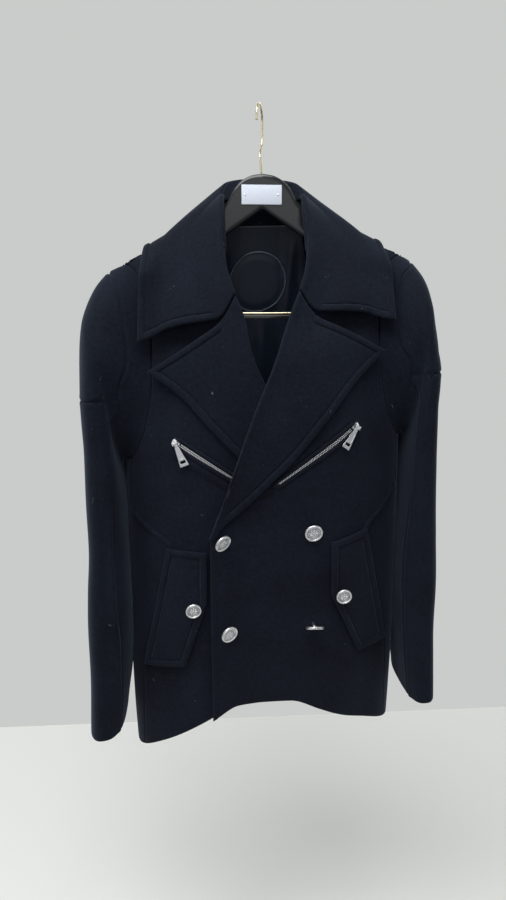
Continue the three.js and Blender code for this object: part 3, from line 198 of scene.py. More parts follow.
def curve(*rows):
    """A smooth function through (place, value) rows, without overshoot."""
    places, values = np.array(sorted(rows), float).T
    slopes = np.diff(values) / np.diff(places)
    a, b = slopes[:-1], slopes[1:]
    total = np.where(a + b == 0, 1, a + b)
    inner = np.where(a * b > 0, 2 * a * b / total, 0)
    tangents = np.concatenate([slopes[:1], inner, slopes[-1:]])

    def at(place):
        place = np.asarray(place, float)
        i = np.clip(np.searchsorted(places, place) - 1, 0, len(places) - 2)
        span = places[i + 1] - places[i]
        t = np.clip((place - places[i]) / span, 0, 1)
        return (
            (2 * t**3 - 3 * t**2 + 1) * values[i]
            + (t**3 - 2 * t**2 + t) * span * tangents[i]
            + (3 * t**2 - 2 * t**3) * values[i + 1]
            + (t**3 - t**2) * span * tangents[i + 1]
        )

    return at


def columns(names, *rows):
    """One curve for each named column after the first, which is the place."""
    return {name: curve(*[(row[0], row[i + 1]) for row in rows]) for i, name in enumerate(names)}


SECTION = columns(
    ("width", "front", "back", "power", "hollow"),
    (-950, 195, 100, 94, 3.1, 16),
    (-850, 199, 101, 96, 3.0, 12),
    (-740, 201, 101, 97, 2.8, 4),
    (-640, 201, 100, 97, 2.7, 0),
    (-540, 200, 99, 98, 2.6, 0),
    (-460, 200, 100, 100, 2.6, 0),
)
HEM = columns(
    ("front", "back"),
    (0, -830, -878), (40, -832, -880), (80, -852, -886),
    (120, -873, -894), (160, -891, -903), (200, -914, -914),
)
LEAN = curve((-950, 0.085), (-330, 0.085), (-280, 0.078), (-210, 0.038), (-90, 0))
ARMHOLE = columns(
    ("front", "back"),
    (0, 193, 193), (10, 185, 188), (22, 173, 181), (35, 163, 175),
    (50, 156, 171), (63, 156, 170), (77, 165, 174), (90, 186, 185.4),
)
ROLL_LINE = curve(
    (-572, -79), (-520, -60), (-476, -45), (-405, -19), (-345, 7), (-300, 23),
    (-272, 34), (-243, 46), (-212, 54), (-170, 58), (-124, 60),
)
SIDE_SEAM = curve(
    (-460, 186), (-500, 190), (-532, 191), (-560, 170), (-588, 142),
    (-640, 151), (-700, 164), (-763, 178), (-950, 184),
)
print("tables: section at the chest", round(float(SECTION["width"](-500))), "mm half width")

# %% [markdown]
# ## Small mathematics
#
# Blender's own vectors hold one place at a time. A piece of cloth has thousands, so the helpers
# work on whole arrays: blends, soft steps, powers that keep the sign, and angles in degrees.

# %% Small mathematics
def lerp(a, b, t):
    return a + (b - a) * t


def smooth(a, b, v):
    t = np.clip((np.asarray(v, float) - a) / (b - a), 0, 1)
    return t * t * (3 - 2 * t)


def power(v, p):
    return np.sign(v) * np.abs(v) ** p


def sine(degrees):
    return np.sin(np.radians(degrees))


def cosine(degrees):
    return np.cos(np.radians(degrees))


def points(*xyz):
    return np.stack(np.broadcast_arrays(*[np.asarray(c, float) for c in xyz]), axis=-1)


def unit(v):
    return v / np.maximum(np.linalg.norm(v, axis=-1, keepdims=True), 1e-9)


print("a soft step, a quarter of the way:", float(smooth(0, 1, 0.25)))

# %% [markdown]
# ## Points on the form
#
# The body is a superellipse at each height: round in front and behind, squarer at the sides.
# The shoulder is another, from the front armhole over the ridge to the back one. Functions
# give a point from an angle and a height, or from x and z on the front.

# %% Points on the form
NECK_HALF, NECK_RISE = 30, 0.6  # the shoulder's line is level inside this, and rises towards it
HOLLOW_WIDTH = 110  # of the dip down the middle of the front


def shoulder_height(x):
    out = np.maximum(np.abs(x), NECK_HALF)
    share = np.maximum(out - NECK_SIDE, 0) / (SHOULDER_TIP - NECK_SIDE)
    slope = lerp(NECK_SIDE_HEIGHT, SHOULDER_TIP_HEIGHT, share**SHOULDER_FLATTEN)
    return np.where(out < NECK_SIDE, NECK_SIDE_HEIGHT + (NECK_SIDE - out) * NECK_RISE, slope)


def ridge_depth(x):
    out = np.clip(np.abs(x) - NECK_SIDE, 0, 200) / (SHOULDER_TIP - NECK_SIDE)
    return -2 - RIDGE_FORWARD * out**1.5


def half_depth(x, z, side):
    n = SECTION["power"](z)
    share = np.maximum(1 - np.abs(x / SECTION["width"](z)) ** n, 0) ** (1 / n)
    dent = SECTION["hollow"](z) * np.exp(-((x / HOLLOW_WIDTH) ** 2))
    front = SECTION["front"](z) * share - dent
    return np.where(side < 0, front, SECTION["back"](z) * share)


def body_point(turn, z):
    """A point round the body: turn is 0 at the middle of the front and 180 behind."""
    x = SECTION["width"](z) * power(sine(turn), 2 / SECTION["power"](z))
    side = np.where(np.abs(turn) > 90, 1, -1)
    return points(x, DEPTH_CENTRE + side * half_depth(x, z, side), z)


def turn_at(x, z):
    """The turn round the body at which x is reached."""
    share = np.clip(x / SECTION["width"](z), -1, 1)
    return np.degrees(np.arcsin(power(share, SECTION["power"](z) / 2)))


def shoulder_point(x, angle):
    """A point over the shoulder: angle is -90 at the front armhole and 90 at the back one."""
    side = np.where(np.asarray(angle) < 0, -1, 1)
    reach = DEPTH_CENTRE + side * half_depth(x, UNDERARM, side) - ridge_depth(x)
    e = 2 / SHOULDER_POWER
    rise = np.abs(cosine(angle)) ** e
    return points(
        x,
        ridge_depth(x) + reach * np.abs(sine(angle)) ** e,
        UNDERARM + (shoulder_height(x) - UNDERARM) * rise,
    )


def shoulder_angle(x, z):
    share = np.clip((z - UNDERARM) / (shoulder_height(x) - UNDERARM), 0, 1)
    return np.degrees(np.arccos(share ** (SHOULDER_POWER / 2)))


print("top of the shoulder, 100 mm from the middle:", round(float(shoulder_height(100)), 1), "mm")


# %% Points on the front
def front_point(x, z):
    upper = shoulder_point(x, -shoulder_angle(x, z))
    lower = points(x, DEPTH_CENTRE - half_depth(x, z, -1), z)
    return np.where((np.asarray(z) >= UNDERARM)[..., None], upper, lower)


def on_front(x, z, lift):
    """A point on the front, lifted straight off it."""
    x, z = np.broadcast_arrays(np.asarray(x, float), np.asarray(z, float))
    across = front_point(x + 2, z) - front_point(x - 2, z)
    up = front_point(x, z + 2) - front_point(x, z - 2)
    return front_point(x, z) + unit(np.cross(across, up)) * np.asarray(lift)[..., None]


def roll_line(side, z):
    """Where the lapel folds over. The right one is spread a little by the lapel over it."""
    spread = UNDER_SPREAD * smooth(-430, -345, z) * (1 - smooth(-330, -268, z))
    return ROLL_LINE(z) + (spread if side < 0 else 0)


def front_lift(side, x, z):
    """How far the left front stands off, over the right one."""
    lift = OVERLAP_LIFT * (1 - smooth(84, 150, x)) * (1 - smooth(-350, -285, z))
    return lift if side > 0 else lift * 0


def hang(p):
    """The whole coat hangs a little askew."""
    return points(p[..., 0] + SHIFT, p[..., 1], p[..., 2] + LEAN(p[..., 2]) * p[..., 0])


def ripple(p, size, seed):
    """An uneven soft swell over the cloth, about 1 high, with crests about size mm apart."""
    total = 0
    for k in range(5):
        a = seed * 1.7 + k * 2.4
        way = np.array([math.cos(a), 0.6 * math.sin(a * 1.3), math.sin(a)])
        total = total + np.sin(p @ way * (6.28 / (size * (0.75 + 0.17 * k))) + seed * 3 + k)
    return total / 2.6


print("the left front stands off by up to", float(front_lift(1, 0, -500)), "mm")

# %% [markdown]
# ## Grids
#
# A cut piece of cloth is a bendy rectangle, so each one starts as a flat grid, whose points are
# then laid on the form. A cloth simulation could drape it, but it would not give the same
# coat each time. The grid is finer where an edge, a seam or a stitch line needs it, and its UV
# map keeps real lengths.

# %% Grids
def spaced(cells, *places, reach=0.04, times=3.5):
    """Grid lines from 0 to 1, closer together near the given places."""
    t = np.linspace(0, 1, 4001)
    weight = 1 + (times - 1) * sum(np.exp(-(((t - place) / reach) ** 2)) for place in places)
    total = np.cumsum(weight) - weight[0]
    return np.interp(np.linspace(0, 1, cells + 1), total / total[-1], t)


def arcs(p, axis):
    """How far each point lies along its row (axis 1) or its column (axis 0)."""
    step = np.linalg.norm(np.diff(p, axis=axis), axis=-1)
    start = np.zeros((1, p.shape[1])) if axis == 0 else np.zeros((p.shape[0], 1))
    return np.concatenate([start, np.cumsum(step, axis=axis)], axis=axis)


def grid_object(name, p, closed=False, fill=False, values=()):
    """A mesh of the grid p, in millimetres, as seen after the coat is hung."""
    rows, cols = p.shape[:2]
    bm = bmesh.new()
    bm.loops.layers.uv.new("cloth")
    bmesh.ops.create_grid(bm, x_segments=cols - 1, y_segments=rows - 1, size=1, calc_uvs=True)
    mesh = bpy.data.meshes.new(name)
    bm.to_mesh(mesh)
    bm.free()
    flat = np.empty(len(mesh.vertices) * 3)
    mesh.vertices.foreach_get("co", flat)
    place = (flat.reshape(-1, 3)[:, :2] + 1) / 2
    j = np.rint(place[:, 0] * (cols - 1)).astype(int)
    i = np.rint(place[:, 1] * (rows - 1)).astype(int)
    mesh.vertices.foreach_set("co", (p[i, j] / 1000).ravel())
    for key, value in dict(values).items():
        mesh.attributes.new(key, "FLOAT", "POINT").data.foreach_set("value", value[i, j])
    uv = np.empty(len(mesh.loops) * 2)
    mesh.uv_layers[0].data.foreach_get("uv", uv)
    size = np.array([arcs(p, 1).max(), arcs(p, 0).max()]) / 1000
    mesh.uv_layers[0].data.foreach_set("uv", (uv.reshape(-1, 2) * size).ravel())
    if closed or fill:
        bm = bmesh.new()
        bm.from_mesh(mesh)
        bmesh.ops.remove_doubles(bm, verts=bm.verts, dist=2e-6)
        if fill:
            rims = [edge for edge in bm.edges if edge.is_boundary]
            bmesh.ops.holes_fill(bm, edges=rims, sides=cols + 2)
            bmesh.ops.recalc_face_normals(bm, faces=bm.faces)
        bm.to_mesh(mesh)
        bm.free()
    mesh.shade_smooth()
    made = bpy.data.objects.new(name, mesh)
    scene.collection.objects.link(made)
    return made


def grid_normals(p, closed=False):
    """The way out of the cloth at each point of a grid."""
    across = np.gradient(p, axis=1)
    if closed:
        across[:, 0] = across[:, -1] = p[:, 1] - p[:, -2]
    return unit(np.cross(across, np.gradient(p, axis=0)))


print("first grid lines beside an edge:", np.round(spaced(100, 0)[:4], 4))

# %% [markdown]
# ## Borders and seams
#
# The free edges are stitched round at a fixed distance, which leaves a raised border, and a
# sewn seam is a valley between two swollen edges. Both could be drawn with bump, but light
# from the side would give them away, so they are heights that raise or sink the mesh.

# %% Borders and seams
BAND_ROLL, BAND_FALL, STITCH_DEPTH, SEAM_SWELL = 0.8, 2.4, 1.2, 0.35


def bead(distance):
    """The raised, edge-stitched border: a plump roll beside the edge, then the stitch line."""
    roll = BAND_ROLL * (1 - ((distance / BAND - 0.5) / 0.5) ** 2)
    border = (BAND_LIFT + np.maximum(roll, 0)) * (1 - smooth(BAND - BAND_FALL, BAND, distance))
    return border - STITCH_DEPTH * np.exp(-(((distance - BAND - 0.6) / 1.5) ** 2))


def stitch_line(distance, run, shown=1):
    """Two values for the material: how near the stitch line a point is, and how far along."""
    near = np.exp(-(((distance - BAND - 0.4) / 0.9) ** 2))
    return {"stitch": near * shown, "run": np.broadcast_to(run, near.shape)}


def groove(distance, depth=1.5, half=1.9):
    """A sewn seam: a thin valley between two slightly swollen edges."""
    valley = -depth * np.exp(-((distance / half) ** 2))
    return valley + SEAM_SWELL * np.exp(-(((np.abs(distance) - 2.6 * half) / (1.6 * half)) ** 2))


print("a border", BAND, "mm wide stands up to", round(float(bead(BAND / 2)), 1), "mm high")

# %% [markdown]
# ## A wall of cloth
#
# A Solidify modifier gives a grid the cloth's real thickness. Extruding would do it too, but
# here the wall can get thinner within two millimetres of an edge, by a vertex group, which
# rounds the edge over. Two edges that meet then read as a pressed seam.

# %% A wall of cloth
EDGE_ROLL, THINNEST, FULL = 2.4, 0.03, 0.999
sheets = {}


def cloth(name, p, thickness, closed=False, relief=0, values=(), roll=EDGE_ROLL):
    """A wall of cloth: the grid p is its outer face, and relief raises it."""
    out = grid_normals(p, closed)
    along = arcs(p, 0)
    edge = np.minimum(along, along[-1:] - along)
    if not closed:
        across = arcs(p, 1)
        edge = np.minimum(edge, np.minimum(across, across[:, -1:] - across))
    share = np.sqrt(1 - (1 - np.clip(edge / roll, THINNEST, 1)) ** 2)
    middle = p + out * (np.asarray(relief) - thickness / 2)[..., None]
    made = grid_object(name, hang(middle), closed, values={"share": share, **dict(values)})
    shares = np.empty(len(made.data.vertices))
    made.data.attributes["share"].data.foreach_get("value", shares)
    group = made.vertex_groups.new(name="thickness")
    group.add(range(len(shares)), 1, "REPLACE")
    for index in np.nonzero(shares < FULL)[0]:
        group.add([int(index)], float(shares[index]), "REPLACE")
    wall = made.modifiers.new("thickness", "SOLIDIFY")
    wall.thickness = thickness / 1000
    wall.offset = 0
    wall.vertex_group = "thickness"
    cell = arcs(p, 1)[:, -1].max() / 1000, along[-1].max() / 1000
    area = sum(face.area for face in made.data.polygons)
    sheets[name] = {"flat": cell, "area": min(area, cell[0] * cell[1])}
    return made


def belongs(made, body, slot, material, *nodes):
    """Says which body the piece rides on, what it is made of, and which solids it replaces."""
    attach(made, body)
    if nodes:
        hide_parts(*nodes)
    made.data.materials.append(material)


def declare(made):
    """States the cut that the piece came from. Its width and length are those of the grid."""
    facts = sheets[made.name]
    sizes = [round(1000 * side) for side in facts["flat"]]
    print(made.name, "cut", sizes, "mm, area", round(facts["area"], 4), "m2")


print("walls: cloth", CLOTH, "mm, pressed leaf", LEAF, "mm, satin", SATIN, "mm")


# %% [markdown]
# ## Wool
#
# Melton is felted wool: woven, then milled and raised until no weave shows, only a soft nap
# with small tufts and a pale bloom at grazing angles, which is sheen. Hair particles could
# give the nap, but are far too heavy for a whole coat. A noise for the tufts, a larger one for
# the cloudy tone, and the shader's sheen do it. Sizes are real millimetres on the object.

# %% Wool
STITCH_LENGTH = 3.4
LINT = {"place": (0.765, 0.79), "share": 0.5, "colour": "6b7382"}


def finish(name, hexed, roughness, **settings):
    """A material with one Principled shader, its tree, shader and Object coordinates."""
    made = bpy.data.materials.new(name)
    made.use_nodes = True
    tree = made.node_tree
    shader = tree.nodes["Principled BSDF"]
    shader.inputs["Base Color"].default_value = linear(hexed)
    shader.inputs["Roughness"].default_value = roughness
    for key, value in settings.items():
        shader.inputs[key.replace("_", " ")].default_value = value
    return made, tree, shader, node(tree, "ShaderNodeTexCoord", out="Object")


def connect(tree, shader, colour, height, strength, distance):
    """Plugs in a colour, and a height that dents the shading by a distance in millimetres."""
    tree.links.new(colour, shader.inputs["Base Color"])
    settings = {"Strength": strength, "Distance": distance / 1000}
    dented = node(tree, "ShaderNodeBump", settings, {"Height": height}, out="Normal")
    tree.links.new(dented, shader.inputs["Normal"])


def blobs(size, detail=3):
    """Noise settings for blobs of about size millimetres."""
    return {"Scale": 1000 / size / 2, "Detail": detail}


def between(first, second):
    """Settings that mix two hex colours."""
    return {"data_type": "RGBA", 6: linear(first), 7: linear(second)}


MATH, MIX, NOISE = "ShaderNodeMath", "ShaderNodeMix", "ShaderNodeTexNoise"
RAMP, ATTRIBUTE = "ShaderNodeMapRange", "ShaderNodeAttribute"


def wool(name, dark, light):
    """Felted wool with tufts, a few pale fibres, soft sheen and room for a stitch line."""
    made, tree, shader, where = finish(name, dark, 0.93, Sheen_Weight=0.15, Sheen_Roughness=0.42)
    shader.inputs["Sheen Tint"].default_value = linear("a3b3d0")
    shader.inputs["Specular IOR Level"].default_value = 0.14
    # Real tufts are under a millimetre and would not show: they are drawn at 2.2 mm.
    tufts = node(tree, NOISE, blobs(2.2, 5), {"Vector": where})
    cloudy = node(tree, NOISE, blobs(34), {"Vector": where})
    fine = node(tree, MATH, {"operation": "MULTIPLY", 1: 0.6}, {0: tufts})
    tone = node(tree, MATH, {"operation": "MULTIPLY_ADD", 1: 0.4}, {0: cloudy, 2: fine})
    tone = node(tree, RAMP, {"From Min": 0.3, "From Max": 0.7}, {"Value": tone})
    body = node(tree, MIX, between(dark, light), {0: tone}, out=2)
    low, high = LINT["place"]
    lint = node(tree, NOISE, {**blobs(5.5, 2), "Distortion": 2.0}, {"Vector": where})
    lint = node(tree, RAMP, {"From Min": low, "From Max": high, "To Max": LINT["share"]}, {"Value": lint})
    speck = node(tree, MIX, {"data_type": "RGBA", 7: linear(LINT["colour"])}, {0: lint, 6: body}, out=2)
    near = node(tree, ATTRIBUTE, {"attribute_name": "stitch"}, out="Fac")
    run = node(tree, ATTRIBUTE, {"attribute_name": "run"}, out="Fac")
    turns = node(tree, MATH, {"operation": "MULTIPLY", 1: 2 * math.pi / STITCH_LENGTH}, {0: run})
    dash = node(tree, MATH, {"operation": "SINE"}, {0: turns})
    dash = node(tree, RAMP, {"From Min": 0.2, "From Max": 0.7, "To Max": 0.5}, {"Value": dash})
    sewn = node(tree, MATH, {"operation": "MULTIPLY"}, {0: near, 1: dash})
    height = node(tree, MATH, {"operation": "MULTIPLY_ADD", 1: 0.55}, {0: tufts, 2: sewn})
    connect(tree, shader, speck, height, 0.45, 1.1)
    return made


melton = wool("navy melton wool", "0a0d14", "151b27")
print(melton.name, len(melton.node_tree.nodes), "nodes")

# %% [markdown]
# ## Satin
#
# The lining is woven so that long threads float on its face, which makes it smoother than the
# wool and streaky along its folds. An anisotropic shader could streak it, but needs tangents
# on every piece. Noise stretched along the threads varies the gloss and does the same.

# %% Satin
def satin_finish():
    """Lining satin. Real floats are 0.2 mm wide: they are drawn at 1.2 mm so that they show."""
    made, tree, shader, where = finish("lining satin", "0a1220", 0.4, Specular_IOR_Level=0.5)
    along = node(tree, "ShaderNodeMapping", {"Scale": (1, 1, 0.06)}, {"Vector": where})
    floats = node(tree, NOISE, blobs(1.2, 2), {"Vector": along})
    colour = node(tree, MIX, between("0b131e", "19273a"), {0: floats}, out=2)
    gloss = node(tree, MATH, {"operation": "MULTIPLY_ADD", 1: 0.25, 2: 0.3}, {0: floats})
    tree.links.new(gloss, shader.inputs["Roughness"])
    connect(tree, shader, colour, floats, 0.12, 0.4)
    return made


satin = satin_finish()
print(satin.name, len(satin.node_tree.nodes), "nodes")

# %% [markdown]
# ## Metals
#
# The zips are polished nickel, worn by hands, and the buttons a silvered pewter, cast with
# relief whose hollows get a darker colour as painted shade. The hook and bar are wire with a pale
# gold plating. A picture could carry the wear, but a noise needs no picture and is as sharp at
# every size. The "raised" value of a button's mesh says where its relief is high and left unshaded.

# %% Metals
WORN_SIZE, WORN_SPREAD, BLOTCH_SIZE = 1.1, 0.1, 4


def metal(name, hexed, shade, roughness, engraved=None):
    """Plated metal, uneven in polish. An engraved piece gets painted shade where "raised" is low."""
    made, tree, shader, where = finish(name, hexed, roughness, Metallic=1)
    blotch = node(tree, NOISE, blobs(BLOTCH_SIZE), {"Vector": where})
    colour = node(tree, MIX, between(shade, hexed), {0: blotch}, out=2)
    if engraved:
        # Painted shade: where "raised" is low, in the relief's hollows, the darker engraved colour is
        # mixed in.
        high = node(tree, ATTRIBUTE, {"attribute_name": "raised"}, out="Fac")
        hollow_shade = {"data_type": "RGBA", 6: linear(engraved)}
        colour = node(tree, MIX, hollow_shade, {0: high, 7: colour}, out=2)
    worn = node(tree, NOISE, blobs(WORN_SIZE), {"Vector": where})
    spread = {"operation": "MULTIPLY_ADD", 1: WORN_SPREAD, 2: roughness - WORN_SPREAD / 2}
    tree.links.new(node(tree, MATH, spread, {0: worn}), shader.inputs["Roughness"])
    connect(tree, shader, colour, blotch, 0.1, 0.3)
    return made


nickel = metal("polished nickel", "fbfcfd", "eceef0", 0.42)  # bright, its gloss dulled by hands
pewter = metal("silvered pewter", "fafaf9", "e8e9e9", 0.4, engraved="b2b4b6")  # soft, with painted shade in its hollows
gold = metal("pale gold wire", "e6dbc0", "cbbd9a", 0.24)  # smooth wire, with sharp highlights
print("metals:", nickel.name + ",", pewter.name + ",", gold.name)

# %% [markdown]
# ## Lacquer, card, tape and thread
#
# The rest is even in colour, so a base colour alone would nearly do. A faint grain keeps a
# large plain face from looking like a flat fill, and its size says what it is: broad waves in
# lacquer, fine fibres in card, tape and thread.

# %% Lacquer, card, tape and thread
def painted(name, hexed, shade, roughness, size, **settings):
    """Lacquer, card or cord: an even colour with a faint grain of the given size."""
    made, tree, shader, where = finish(name, hexed, roughness, **settings)
    grain = node(tree, NOISE, blobs(size, 2), {"Vector": where})
    colour = node(tree, MIX, between(shade, hexed), {0: grain}, out=2)
    connect(tree, shader, colour, grain, 0.06, 0.3)
    return made


lacquer = painted("black hanger lacquer", "28292a", "212223", 0.16, 9)  # glossy, a little wavy
card = painted("white plate", "e9effa", "dde4f1", 0.45, 1.2)  # satin white, slightly cool
tape = painted("black zip tape", "101318", "0a0c10", 0.8, 1.0)  # matt, woven tight
thread = painted("piping thread", "56647a", "3d4a5f", 0.5, 1.0, Sheen_Weight=0.3)  # silky cord
print("materials:", len(bpy.data.materials))

# %% [markdown]
# ## Folds
#
# Heavy cloth hangs in a few long soft troughs, where it sags between its seams. Sculpting
# would place them well, but can't be run again. Here a fold is a line from one place to
# another with a width and a height, and it fades out at both ends.

# %% Folds
FOLD_CORE, FOLD_FADE = 0.32, 36  # half its length keeps its height so far, then fades so fast


def folded(p, rows):
    """Height of soft folds. A row is x, z at each end, then width and height."""
    total = np.zeros(p.shape[:2])
    for x0, z0, x1, z1, width, height in rows:
        dx, dz = x1 - x0, z1 - z0
        t = ((p[..., 0] - x0) * dx + (p[..., 2] - z0) * dz) / (dx * dx + dz * dz)
        off = ((p[..., 0] - x0) * dz - (p[..., 2] - z0) * dx) / math.hypot(dx, dz)
        fade = np.exp(-FOLD_FADE * np.maximum(np.abs(t - 0.5) - FOLD_CORE, 0) ** 2)
        total += height * np.exp(-((off / width) ** 2)) * fade
    return total


FRONT_FOLDS = [
    (-150, -520, -120, -880, 22, -2.5),
    (-104, -600, -92, -860, 26, 2.0),
    (-30, -640, -50, -850, 34, -2.2),
    (40, -600, 30, -840, 30, 2.4),
    (78, -640, 96, -860, 22, -2.6),
    (150, -520, 128, -850, 24, 2.0),
    (128, -330, 150, -500, 16, -2.4),
    (-132, -330, -150, -500, 16, -2.6),
    (-60, -520, -150, -560, 20, 1.8),
    (70, -500, 160, -560, 22, 1.6),
    (-116, -372, -96, -520, 20, 1.4),
]
BACK_FOLDS = [
    (0, -180, 0, -840, 16, -2.0),
    (-120, -300, -90, -860, 34, -3.2),
    (110, -280, 96, -840, 36, -3.0),
    (-60, -420, -40, -870, 30, 2.4),
    (52, -380, 46, -870, 30, 2.2),
    (-165, -400, -150, -860, 20, 2.4),
    (165, -400, 152, -860, 20, 2.6),
    (-150, -330, -20, -300, 22, 1.8),
    (150, -340, 20, -290, 22, 1.6),
]
print("folds:", len(FRONT_FOLDS), "in front and", len(BACK_FOLDS), "behind")

# %% [markdown]
# ## Fronts
#
# Each front is cut in one, from its edge or roll line round to the side seam, and up to the
# shoulder. It could be a stitched patchwork of planes, but one grid keeps the nap whole. Rows
# below the armhole are level, and those above turn with the armhole over the shoulder. The
# slot under each zip, the hollow below the lapel's notch and the short pleat beside the side
# seam are pressed in as heights.

# %% The shape of a front
HANDS = ((1, "left"), (-1, "right"))  # the wearer's left is at positive x
TIP_GAP = 1.5  # millimetres left free at the tip of the shoulder, for the sleeve
RIDGE_GAP = (0.3, 1.6)  # left free along the shoulder seam, at the neck and at the tip
LAPEL_START = -572  # the height at which the front's edge becomes the roll line
HEM_HEIGHT = -890.0  # where the hem's own table is looked up
UNDERARM_WIDTH = float(SECTION["width"](UNDERARM))
UNDERARM_POWER = float(SECTION["power"](UNDERARM))
ZIPS = {1: ((115, -438), (11, -504)), -1: ((123, -438), (44, -495))}


def ridge_seam(x, side):
    """The angle over the shoulder at which the front or back stops short of the other."""
    reach = np.abs(DEPTH_CENTRE + side * half_depth(x, UNDERARM, side) - ridge_depth(x))
    gap = lerp(*RIDGE_GAP, smooth(160, SHOULDER_TIP, np.abs(x)))
    return np.degrees(np.arcsin((gap / reach) ** (SHOULDER_POWER / 2)))


def armhole_x(face, arm):
    """The armhole's x at an angle up it, on the front or the back."""
    return ARMHOLE[face](arm) - TIP_GAP * smooth(9, 0, arm)


def yoke_x(turn):
    """Where the columns of the lower rows go on above the armhole."""
    return UNDERARM_WIDTH * power(sine(turn), 2 / UNDERARM_POWER)


def mirrored(side, p):
    """The grid as it is for the wearer's left, or its mirror image for the right."""
    return p if side > 0 else (p * (-1, 1, 1))[:, ::-1]


def front_points(side, columns=112, low=120, high=72):
    """The grid of a front, seen as the left one, with its first row at the hem."""
    c = spaced(columns, 0, 1)[None, :]
    row = spaced(low, 0)[:, None]

    def turn(z):
        edge = turn_at(np.where(z < LAPEL_START, FRONT_EDGE, roll_line(side, z)), z)
        return lerp(edge, turn_at(SIDE_SEAM(z), z), c)

    lowest = body_point(turn(np.full((1, 1), HEM_HEIGHT)), HEM_HEIGHT)
    z = lerp(HEM["front"](np.abs(lowest[..., 0])), UNDERARM, row)
    x = body_point(turn(z), z)[..., 0]
    lower = on_front(x, z, front_lift(side, x, z))
    arm = 90 * (1 - spaced(high, 1))[:, None]
    edge_z = lerp(UNDERARM, NECK_SIDE_HEIGHT, (1 - arm / 90) ** 0.85)
    edge_x = roll_line(side, edge_z)
    x = yoke_x(lerp(turn_at(edge_x, UNDERARM), turn_at(armhole_x("front", arm), UNDERARM), c))
    angle = lerp(shoulder_angle(edge_x, edge_z), arm, c)
    flat = shoulder_point(x, -np.maximum(angle, ridge_seam(x, -1)))
    lift = front_lift(side, x, flat[..., 2])
    raised = on_front(x, flat[..., 2], lift)
    upper = np.where((lift > 0.01)[..., None], raised, flat)
    return np.concatenate([lower, upper[1:]])


def zip_distance(side, p):
    """Distance from the zip's line, and how far along it, from 0 to 1."""
    (x0, z0), (x1, z1) = ZIPS[side]
    dx, dz = x1 - x0, z1 - z0
    length = math.hypot(dx, dz)
    x = side * p[..., 0]
    t = ((x - x0) * dx + (p[..., 2] - z0) * dz) / length**2
    return ((p[..., 2] - z0) * dx - (x - x0) * dz) / length, t


print("zips lie", [round(math.dist(*ZIPS[side])) for side, hand in HANDS], "mm long")


# %% Fronts
def hill(distance, half):
    """A soft hill 1 high: its height at a distance from its top, with half its width."""
    return np.exp(-((distance / half) ** 2))


SLOT = {"depth": 1.8, "half": 6}  # of the dip that the zip lies in
ZIP_RIDGE = {"height": 1.9, "away": 14, "half": 3.6}  # the fold that the zip's seam pushes up
ZIP_VALLEY = {"height": 1.0, "away": 20, "half": 2.6}
NOTCH = {"x": 104, "z": -308, "wide": 42, "high": 22, "depth": 9}  # under the lapel's notch
PLEAT = {
    "top": (-540, -530), "foot": (-596, -588), "edge": (7, 9), "height": 2.1,
    "valley": 1.1, "valley_at": 9.8, "valley_half": 1.5,
}
EDGE_STARTS, EDGE_SHARE = (-600, -580), 0.3  # the front's free edge has a faint border below

for side, hand in HANDS:
    p = mirrored(side, front_points(side))
    height = p[..., 2]
    off, t = zip_distance(side, p)
    inside = smooth(-0.08, 0.02, t) * (1 - smooth(0.98, 1.08, t))
    relief = folded(p, FRONT_FOLDS)
    aside = (np.abs(p[..., 0]) - NOTCH["x"]) / NOTCH["wide"]
    relief -= NOTCH["depth"] * np.exp(-(aside**2 + ((height - NOTCH["z"]) / NOTCH["high"]) ** 2))
    ridge = ZIP_RIDGE["height"] * hill(off + side * ZIP_RIDGE["away"], ZIP_RIDGE["half"])
    ridge = ridge - ZIP_VALLEY["height"] * hill(off + side * ZIP_VALLEY["away"], ZIP_VALLEY["half"])
    relief += inside * (ridge - SLOT["depth"] * hill(off, SLOT["half"]))
    across = arcs(p, 1)
    far = across[:, -1:] - across
    seam, free = (far, across) if side > 0 else (across, far)
    level = (1 - smooth(*PLEAT["top"], height)) * smooth(*PLEAT["foot"], height)
    pleat = PLEAT["height"] * (1 - smooth(*PLEAT["edge"], seam))
    valley = PLEAT["valley"] * hill(seam - PLEAT["valley_at"], PLEAT["valley_half"])
    relief += level * (pleat - valley)
    below = 1 - smooth(*EDGE_STARTS, height)
    relief += EDGE_SHARE * bead(free) * below
    values = stitch_line(free, arcs(p, 0), below)
    made = cloth(f"front_{hand}_cloth", p, CLOTH, relief=relief, values=values)
    belongs(made, "coat", "melton_wool", melton, f"front_{hand}")
    print(made.name, p.shape[0], "rows of", p.shape[1], "points")

# %% [markdown]
# ## Sides and back
#
# The side panels close the body between the fronts and the back, and the back is cut in two
# with a seam down its middle. It is one grid here, because a closed seam needs no gap: a
# groove along the middle column reads as one and can't open.

# %% Side panels and back
BACK_SEAM, NECK_DIP = 115, 21
SIDE_TOP = 0.9955  # the side panel stops just short of the armhole, under the sleeve


def neck_dip(x):
    """How far the neck's edge lies behind the ridge of the shoulder, as an angle."""
    return NECK_DIP * np.maximum(1 - (x / NECK_SIDE) ** 2, 0) ** 0.6


def side_points(columns=44, rows=130):
    """The grid of a side panel, from the front's side seam to the back's."""
    c = spaced(columns, 0, 1, reach=0.1)[None, :]
    row = spaced(rows, 0, 1)[:, None] * SIDE_TOP

    def turn(z):
        return lerp(turn_at(SIDE_SEAM(z), z), BACK_SEAM, c)

    lowest = turn(np.full((1, 1), HEM_HEIGHT))
    x = np.abs(body_point(lowest, HEM_HEIGHT)[..., 0])
    hem = np.where(lowest > 90, HEM["back"](x), HEM["front"](x))
    z = lerp(hem, UNDERARM, row)
    return body_point(turn(z), z)


